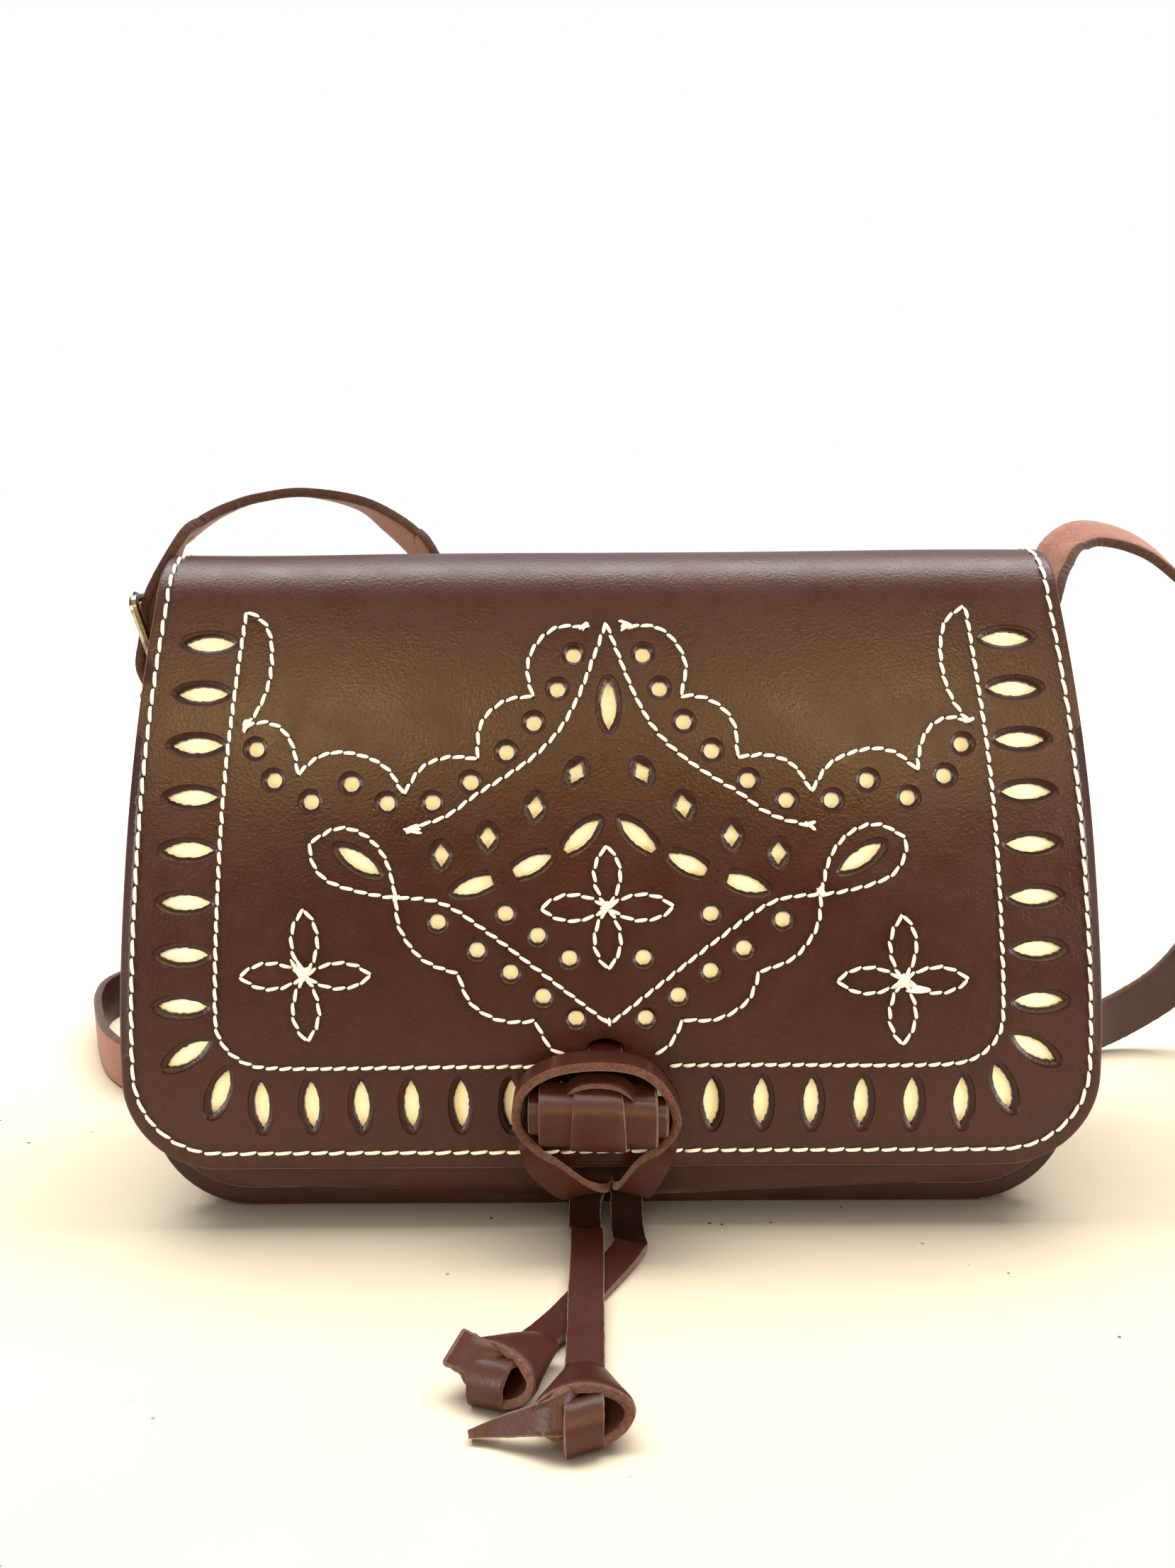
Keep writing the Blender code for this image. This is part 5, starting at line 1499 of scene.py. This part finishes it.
def make_knot(name, centre, turn, looks):
    """Overhand knot in a flat thong: a flared collar with a bare rim round a folded block."""
    matrix = Matrix.Translation(Vector(centre) * MM) @ Matrix.Rotation(math.radians(turn), 4, "Z")

    def world(x, y, z):
        return matrix @ (Vector((x, y, z)) * MM)

    collar = Builder()
    rows = []
    for number, (y, size_x, size_z, lift, dark) in enumerate(KNOT_RINGS):
        ring = []
        for k in range(KNOT_SIDES):
            angle = math.tau * k / KNOT_SIDES
            lump = 1 + 0.035 * math.sin(2 * angle + 0.8) + 0.025 * math.sin(3 * angle)
            lean = 2.2 * math.sin(angle) * max(0.0, 1 - y / 9)
            rough = 0.0
            if number in KNOT_RIM:
                rough = 0.22 * noise.noise(Vector((angle * 9, size_x, turn)))
            ring.append(world((size_x + rough) * lump * math.cos(angle), y + lean + rough,
                              max(0.15, size_z * math.sin(angle) + lift + rough)))
        rows.append(collar.add(ring, dark))
    for i, (first, second) in enumerate(zip(rows, rows[1:])):
        collar.band(first, second, 1 if 5 < i < 9 else 0)
    collar.cap(rows[0], world(0, 16.7, 4.0), 0)
    # Painted shade deep inside the collar.
    collar.cap(rows[-1], world(0, 3.4, 5.6), 0, 1.0)
    wrap = collar.make(f"{name}_collar", [looks["thong"], looks["edge"]], smooth_angle=60)

    centres = smooth_route([world(*p) for p in KNOT_BLOCK], 8)
    across = matrix.to_3x3() @ Vector(BLOCK_ACROSS)
    block = ribbon(f"{name}_fold", centres, [across] * len(centres), BLOCK_WIDTH, THONG_THICK,
                   thong_looks(looks), 0.18 * MM)
    return wrap, block


def make_knots(looks):
    """Both knots, each with its collar, block and short end strip."""
    knots = []
    data = (
        ("knot_l", "knot_left", KNOT_LEFT, 0, KNOT_END_LEFT, (0.05, 0.62, 0.78),
         lambda s: 1.0 - 0.8 * max(0.0, s - 0.22) / 0.78),
        ("knot_r", "knot_right", KNOT_RIGHT, KNOT_TURN_RIGHT, KNOT_END_RIGHT,
         (0.66, 0.46, 0.58), lambda s: 1.0),
    )
    for name, node, centre, turn, end_route, side, taper in data:
        wrap, block = make_knot(name, centre, turn, looks)
        centres = smooth_mm(end_route)
        end = ribbon(f"{name}_end", centres, [Vector(side)] * len(centres), THONG_WIDTH,
                     THONG_THICK, thong_looks(looks), 0.35 * MM, taper, bare=BARE_TIP)
        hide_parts(node)
        for piece in (wrap, block, end):
            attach(piece, "bag")
        knots.append([wrap, block, end])
    return knots


# Strap and fittings

def side_matrix(sign):
    """Frame on one side wall: local X across the strap (+Y), Y up the wall, Z outward."""
    along = Vector((sign * math.sin(FLARE), 0, math.cos(FLARE)))
    out = Vector((sign * math.cos(FLARE), 0, -math.sin(FLARE)))
    across = along.cross(out)
    base = Vector((sign * BODY_HALF_WIDTH, SIDE_Y, FLARE_START))
    return frame_matrix(across, along, out, base)


LEFT = side_matrix(-1)
RIGHT = side_matrix(1)

BAR_N = GAP + CHAPE_THICK + GAP + BUCKLE_ROD
FOLD_RADIUS = BUCKLE_ROD + GAP + CHAPE_THICK / 2
CHAPE_INNER_N = GAP + CHAPE_THICK / 2
CHAPE_OUTER_N = CHAPE_INNER_N + CHAPE_THICK + GAP
KEEPER_INNER_N = GAP + CHAPE_THICK + GAP + KEEPER_THICK / 2
CHAPE_KEPT_N = KEEPER_INNER_N + KEEPER_THICK / 2 + GAP + CHAPE_THICK / 2
STRAP_KEPT_N = CHAPE_KEPT_N + CHAPE_THICK / 2 + GAP + STRAP_THICK / 2
STRAP_BAR_N = BAR_N + FOLD_RADIUS + CHAPE_THICK / 2 + GAP + STRAP_THICK / 2
KEEPER_OUTER_N = STRAP_KEPT_N + STRAP_THICK / 2 + GAP + KEEPER_THICK / 2
FAR_BAR_N = BAR_N + BUCKLE_LENGTH * math.sin(BUCKLE_TILT)
FAR_BAR_S = BUCKLE_BAR_S + BUCKLE_LENGTH * math.cos(BUCKLE_TILT)
STRAP_FAR_N = FAR_BAR_N - BUCKLE_ROD - 2 * GAP - STRAP_THICK / 2

STRAP_FREE = (
    (-1, (-1.6, 19.4, 165.2), (-0.18, 1, 0.05)),
    (-1, (1.8, 24.4, 170.1), (-0.12, 1, 0.06)),
    (-1, (8.6, 30.4, 175.2), (-0.06, 1, 0.1)),
    (-1, (17, 35.4, 178.6), (-0.06, 1, 0.08)),
    (-1, (28.6, 40.5, 180), (-0.05, 1, 0.02)),
    (-1, (42, 44.4, 177.4), (-0.12, 1, -0.1)),
    (-1, (50.5, 45, 172.3), (-0.25, 0.93, -0.25)),
    (-1, (57.9, 44.7, 166.2), (-0.32, 0.89, -0.32)),
    (-1, (62.4, 44, 160.2), (-0.35, 0.87, -0.33)),
    (-1, (75, 47.5, 134), (-0.25, 0.95, -0.15)),
    (-1, (83, 53, 104), (-0.1, 1, 0)),
    (-1, (85, 60, 72), (0, 1, 0)),
    (-1, (80, 67, 44), (0.05, 1, 0)),
    (-1, (65, 74, 22), (0.1, 1, -0.05)),
    (-1, (41, 80, 9), (0.1, 1, -0.15)),
    (-1, (15, 87, 5.6), (0.1, 0.93, -0.38)),
    (-1, (-11, 97, 7.4), (0.2, 0.65, -0.72)),
    (-1, (-35, 106, 8.1), (0, 0.1, -1)),
    (-1, (-54, 104, 8.1), (0, 0, -1)),
    (-1, (-62, 92, 8.1), (0, 0, -1)),
    (-1, (-60.5, 78, 8.1), (0, 0, -1)),
    (-1, (-54, 62, 8.1), (0, 0, -1)),
    (-1, (-45, 46, 8.1), (0, 0, -1)),
    (-1, (-33, 34.5, 8.1), (0, 0, -1)),
    (-1, (-20, 31.5, 8.1), (0, 0, -1)),
    (-1, (-4, 34.5, 8.1), (0, 0, -1)),
    (-1, (14, 37.5, 8.1), (0, 0.1, -1)),
    (0, (-50, 40.5, 7.8), (0, 0.6, -0.8)),
    (0, (0, 43.5, 5), (0, 1, 0)),
    (0, (50, 44, 7.8), (0, 0.6, 0.8)),
    (1, (-13, 45, 8.1), (0, 0.1, 1)),
    (1, (17, 48, 8.1), (0, 0, 1)),
    (1, (37, 54, 8.3), (-0.15, 0, 1)),
    (1, (53, 60, 10.5), (-0.35, 0, 0.94)),
    (1, (73, 61, 24), (-0.6, 0, 0.8)),
    (1, (87, 58, 48), (-0.85, 0.3, 0.45)),
    (1, (93, 53, 76), (-0.8, 0.6, 0.15)),
    (1, (88, 47, 104), (-0.4, 0.9, 0)),
    (1, (74, 41, 129), (-0.1, 1, 0)),
    (1, (58, 35, 146), (0.05, 0.97, 0.2)),
    (1, (45.6, 31, 156.3), (0.08, 0.95, 0.32)),
    (1, (34, 29.5, 164), (0.08, 0.95, 0.32)),
    (1, (21.4, 29.5, 167.2), (0.05, 0.95, 0.33)),
    (1, (13, 27, 163.8), (0, 0.95, 0.33)),
    (1, (8, 21.5, 156.5), (0, 1, 0.15)),
)


def strap_route():
    """The strap's centre line and its width direction, from its buckled end to its right end."""
    buckled = [
        (BUCKLE_BAR_S - 17 * MM, STRAP_KEPT_N), (BUCKLE_BAR_S - 12 * MM, STRAP_KEPT_N),
        (BUCKLE_BAR_S - 7 * MM, STRAP_KEPT_N), (BUCKLE_BAR_S - 1 * MM, STRAP_BAR_N + 0.1 * MM),
        (BUCKLE_BAR_S + PRONG_CROSSING, (STRAP_BAR_N + STRAP_FAR_N) / 2 + 0.4 * MM),
        (FAR_BAR_S, STRAP_FAR_N),
    ]
    route = [LEFT @ Vector((0, s, n)) for s, n in buckled]
    across = [Vector((0, 1, 0))] * len(buckled)
    for side, (x, y, z), width in STRAP_FREE:
        route.append(Vector((side * BODY_HALF_WIDTH + x * MM, y * MM, z * MM)))
        across.append(Vector(width))
    end_n = GAP + STRAP_THICK / 2
    lower, upper = END_RIVETS_S
    for s, lift in ((upper + 7 * MM, 0.7 * MM), (upper, 0), (lower, 0), (lower - 8 * MM, 0)):
        route.append(RIGHT @ Vector((0, s, end_n + lift)))
        across.append(Vector((0, 1, 0)))
    return route, across


def punched(obj, cutters):
    """Boolean holes applied to the mesh."""
    for cutter in cutters:
        boolean = obj.modifiers.new("hole", "BOOLEAN")
        boolean.operation = "DIFFERENCE"
        boolean.solver = "EXACT"
        boolean.object = cutter
    bpy.context.view_layer.update()
    graph = bpy.context.evaluated_depsgraph_get()
    mesh = bpy.data.meshes.new_from_object(obj.evaluated_get(graph))
    obj.modifiers.clear()
    obj.data = mesh
    for cutter in cutters:
        bpy.data.objects.remove(cutter, do_unlink=True)


def hole_cutter(radius, length, matrix, stretch=1.0):
    bm = bmesh.new()
    bmesh.ops.create_cone(bm, cap_ends=True, segments=20, radius1=radius, radius2=radius,
                          depth=length)
    mesh = bpy.data.meshes.new("cutter")
    bm.to_mesh(mesh)
    bm.free()
    mesh.transform(matrix @ Matrix.Diagonal((1, stretch, 1, 1)))
    obj = bpy.data.objects.new("cutter", mesh)
    bpy.context.scene.collection.objects.link(obj)
    return obj


def make_strap(looks):
    """Strap along its route, with a tapered buckled end and punched holes."""
    route, across = strap_route()
    steps = 26
    centres = smooth_route(route, steps)
    sides = smooth_route(across, steps)
    strap = ribbon("shoulder_strap", centres, sides, STRAP_WIDTH, STRAP_THICK,
                   [looks["flesh"], looks["strap_edge"], looks["strap"]], 0.30 * MM,
                   lambda share: min(1.0, 0.45 + share * 38))
    middle = LEFT @ Vector((0, BUCKLE_BAR_S + PRONG_CROSSING, STRAP_KEPT_N))
    start = min(range(len(centres)), key=lambda i: (centres[i] - middle).length)
    lengths = running_lengths(centres)
    cutters = []
    for k in range(STRAP_HOLES):
        wanted = lengths[start] + (k - 1) * STRAP_HOLE_PITCH
        i = min(range(1, len(centres) - 1), key=lambda j: abs(lengths[j] - wanted))
        along = (centres[i + 1] - centres[i - 1]).normalized()
        side = (sides[i] - along * sides[i].dot(along)).normalized()
        matrix = frame_matrix(side, along, side.cross(along), centres[i])
        stretch = PRONG_HOLE_LENGTH / STRAP_HOLE_WIDTH if k == 1 else 1.0
        cutters.append(hole_cutter(STRAP_HOLE_WIDTH / 2, 10 * MM, matrix, stretch))
    punched(strap, cutters)
    hand_over(strap, "strap")


def in_side_plane(points, steps):
    """Smooth route and width directions of a piece in the left side's frame."""
    centres = [LEFT @ p for p in smooth_route([Vector((0, s, n)) for s, n in points], steps)]
    return centres, [Vector((0, 1, 0))] * len(centres)


def make_chape(looks):
    """Leather tab folded over the buckle's bar, both ends under the rivet."""
    bottom = BUCKLE_BAR_S - CHAPE_LENGTH
    points = [(bottom, CHAPE_INNER_N), (BUCKLE_BAR_S - 14 * MM, CHAPE_INNER_N),
              (BUCKLE_BAR_S - 6 * MM, CHAPE_INNER_N)]
    for i in range(13):
        angle = math.radians(-90 + 15 * i)
        points.append((BUCKLE_BAR_S + FOLD_RADIUS * math.cos(angle),
                       BAR_N + FOLD_RADIUS * math.sin(angle)))
    keeper_s = BUCKLE_BAR_S - KEEPER_DROP
    points += [(keeper_s + KEEPER_WIDTH / 2 + GAP, CHAPE_KEPT_N),
               (keeper_s - KEEPER_WIDTH / 2 - GAP, CHAPE_KEPT_N),
               (keeper_s - KEEPER_WIDTH / 2 - 3 * MM, CHAPE_OUTER_N), (bottom, CHAPE_OUTER_N)]
    centres, sides = in_side_plane(points, 3)
    chape = ribbon("buckle_tab", centres, sides, CHAPE_WIDTH, CHAPE_THICK,
                   [looks["strap"], looks["edge"], looks["flesh"]], 0.12 * MM)
    hand_over(chape, "buckle_chape")


def make_keeper(looks):
    """Closed leather ring round strap and tab."""
    half_in = STRAP_WIDTH / 2 + GAP + KEEPER_THICK / 2
    low, high = KEEPER_INNER_N, KEEPER_OUTER_N
    corner = 1.6 * MM
    ring = []
    for a, b, start in ((1, low, -90), (1, high, 0), (-1, high, 90), (-1, low, 180)):
        centre = (a * (half_in - corner), b + (corner if b == low else -corner))
        ring += arc_points(centre, corner, start, start + 90, 6)
    ring = resampled(ring, 1.2 * MM)
    s = BUCKLE_BAR_S - KEEPER_DROP
    centres = [LEFT @ Vector((x, s, n)) for x, n in ring]
    along = (LEFT.to_3x3() @ Vector((0, 1, 0))).normalized()
    keeper = ribbon("keeper_ring", centres, [along] * len(centres), KEEPER_WIDTH, KEEPER_THICK,
                    [looks["strap"], looks["edge"], looks["strap"]], 0.08 * MM, closed=True)
    hand_over(keeper, "keeper")


def dress_metal(looks):
    """The turned and bent metal keeps its solids and gets its finish."""
    for name in ("buckle_frame", "buckle_prong", "chape_rivet", "strap_rivet_lower",
                 "strap_rivet_upper"):
        mesh = frame["nodes"][name].data
        for i in range(len(mesh.materials)):
            mesh.materials[i] = looks["metal"]
        mesh.shade_smooth()


# Stage

FLOOR_FRONT = -0.30
FLOOR_REACH = 3.0
FADE_CENTRE = (0, 0.05, 0)
FADE_START = 0.26
FADE_END = 0.7
CRUMB_SCALE = 120


def make_floor():
    """Pale paper with a few dark crumbs; away from the bag it glows white, painted light that fades
    it into the white background.
    """
    shader = Shader("paper_floor")
    specks = shader.node("ShaderNodeTexVoronoi", feature="F1")
    specks.inputs["Scale"].default_value = CRUMB_SCALE
    shader.link(shader.place, specks.inputs["Vector"])
    sparse = shader.ramp(shader.noise(14, 2), 0.50, 0.56)
    dots = shader.ramp(specks.outputs["Distance"], 0.045, 0.065, 1.0, 0.0)
    drift = shader.ramp(shader.noise(6, 3), 0.35, 0.65)
    shade = shader.mix(drift, (0.90, 0.78, 0.58), (0.88, 0.75, 0.55))
    shade = shader.mix(shader.math("MULTIPLY", dots, sparse), shade, (0.12, 0.09, 0.07))
    shader.bump([(shader.noise(400, 4), 0.2 * MM, 0.15)])
    # Painted light: the floor glows white further from the bag.
    away = shader.node("ShaderNodeVectorMath", operation="DISTANCE")
    shader.link(shader.place, away.inputs[0])
    away.inputs[1].default_value = FADE_CENTRE
    painted_glow = shader.ramp(away.outputs["Value"], FADE_START, FADE_END)
    shader.principled.inputs["Emission Color"].default_value = (1, 1, 1, 1)
    shader.link(painted_glow, shader.principled.inputs["Emission Strength"])
    material = shader.set(Base_Color=shade, Roughness=0.8)
    reach = FLOOR_REACH
    mesh = bpy.data.meshes.new("floor")
    mesh.from_pydata([(-reach, FLOOR_FRONT, 0), (reach, FLOOR_FRONT, 0), (reach, reach, 0),
                      (-reach, reach, 0)], [], [(0, 1, 2, 3)])
    mesh.materials.append(material)
    floor = bpy.data.objects.new("floor", mesh)
    bpy.context.scene.collection.objects.link(floor)
    return floor


BRIGHT_SIDE = (0, 0.5, 0.87)


def make_world():
    """White behind the bag; it lights from above and behind and is dim in front and below."""
    world = bpy.data.worlds.new("studio")
    bpy.context.scene.world = world
    world.use_nodes = True
    tree = world.node_tree
    tree.nodes.clear()
    output = tree.nodes.new("ShaderNodeOutputWorld")
    direction = tree.nodes.new("ShaderNodeTexCoord")
    along = tree.nodes.new("ShaderNodeVectorMath")
    along.operation = "DOT_PRODUCT"
    along.inputs[1].default_value = BRIGHT_SIDE
    tree.links.new(direction.outputs["Generated"], along.inputs[0])
    grade = tree.nodes.new("ShaderNodeMapRange")
    for socket, number in zip(grade.inputs[1:5], (-0.1, 0.9, 0.05, 0.85)):
        socket.default_value = number
    tree.links.new(along.outputs["Value"], grade.inputs["Value"])
    lit = tree.nodes.new("ShaderNodeBackground")
    lit.inputs["Color"].default_value = (0.95, 0.96, 1.0, 1)
    tree.links.new(grade.outputs["Result"], lit.inputs["Strength"])
    seen = tree.nodes.new("ShaderNodeBackground")
    seen.inputs["Color"].default_value = (1, 1, 1, 1)
    seen.inputs["Strength"].default_value = 1.0
    path = tree.nodes.new("ShaderNodeLightPath")
    mix = tree.nodes.new("ShaderNodeMixShader")
    tree.links.new(path.outputs["Is Camera Ray"], mix.inputs["Fac"])
    tree.links.new(lit.outputs[0], mix.inputs[1])
    tree.links.new(seen.outputs[0], mix.inputs[2])
    tree.links.new(mix.outputs[0], output.inputs["Surface"])


def area_light(name, place_at, target, size, power, colour, shunned=None):
    """Rectangular light; shunned is a collection it leaves unlit."""
    light = bpy.data.lights.new(name, "AREA")
    light.shape = "RECTANGLE"
    light.size, light.size_y = size
    light.energy = power
    light.color = colour
    obj = bpy.data.objects.new(name, light)
    obj.location = place_at
    direction = Vector(target) - Vector(place_at)
    obj.rotation_euler = direction.to_track_quat("-Z", "Y").to_euler()
    bpy.context.scene.collection.objects.link(obj)
    if shunned:
        obj.light_linking.receiver_collection = shunned


WARM = (1.0, 0.72, 0.28)
DAYLIGHT = (1.0, 0.95, 0.90)
MIDDLE = (0, 0, 0.08)

# Name, place, target, size, power, colour
FRONT_LIGHTS = (
    ("side_right", (1.05, -0.62, 0.24), MIDDLE, (0.5, 0.3), 12, DAYLIGHT),
    ("side_left", (-1.05, -0.62, 0.20), MIDDLE, (0.5, 0.3), 9.5, DAYLIGHT),
    ("warm_-1", (-0.34, -1.0, 0.66), (-0.04, -0.02, 0.12), (0.16, 0.24), 5.0, WARM),
    ("warm_1", (0.34, -1.0, 0.66), (0.04, -0.02, 0.12), (0.16, 0.24), 5.0, WARM),
)


def make_lights(floor):
    """One soft light above and behind, and low lights in front that leave the floor alone."""
    unlit = bpy.data.collections.new("unlit_by_front_lights")
    unlit.objects.link(floor)
    for member in unlit.collection_objects:
        member.light_linking.link_state = "EXCLUDE"
    area_light("overhead", (0, 0.29, 1.2), (0, 0, 0), (2.0, 0.5), 29, (1.0, 0.98, 0.95))
    for light in FRONT_LIGHTS:
        area_light(*light, unlit)


def make_camera():
    """Camera at the photograph's viewing angle."""
    camera = bpy.data.cameras.new("camera")
    camera.sensor_fit = "VERTICAL"
    camera.sensor_height = 36
    camera.lens = FOCAL_PX / FRAME_HEIGHT_PX * camera.sensor_height
    camera.clip_start = 0.01
    obj = bpy.data.objects.new("camera", camera)
    bpy.context.scene.collection.objects.link(obj)
    upright = Matrix.Rotation(math.pi / 2 - CAMERA_PITCH, 4, "X")
    obj.matrix_world = (Matrix.Translation(CAMERA_PLACE) @ upright
                        @ Matrix.Rotation(-CAMERA_ROLL, 4, "Z"))
    bpy.context.scene.camera = obj


def main():
    bpy.context.scene.view_settings.view_transform = "Standard"
    looks = make_materials()
    make_flap(looks)
    make_front_panel(looks)
    make_front_welt(looks)
    make_gusset(looks)
    make_toggle(looks)
    make_loop(looks)
    knot_left, knot_right = make_knots(looks)
    make_tail("tail_l", "tail_left", TAIL_LEFT, [(1, 0, 0)] * len(TAIL_LEFT),
              CREASE_LEFT, looks)
    make_tail("tail_r", "tail_right", TAIL_RIGHT, TAIL_RIGHT_ACROSS,
              CREASE_RIGHT, looks)
    make_strap(looks)
    make_chape(looks)
    make_keeper(looks)
    dress_metal(looks)
    floor = make_floor()
    make_world()
    make_lights(floor)
    make_camera()


main()
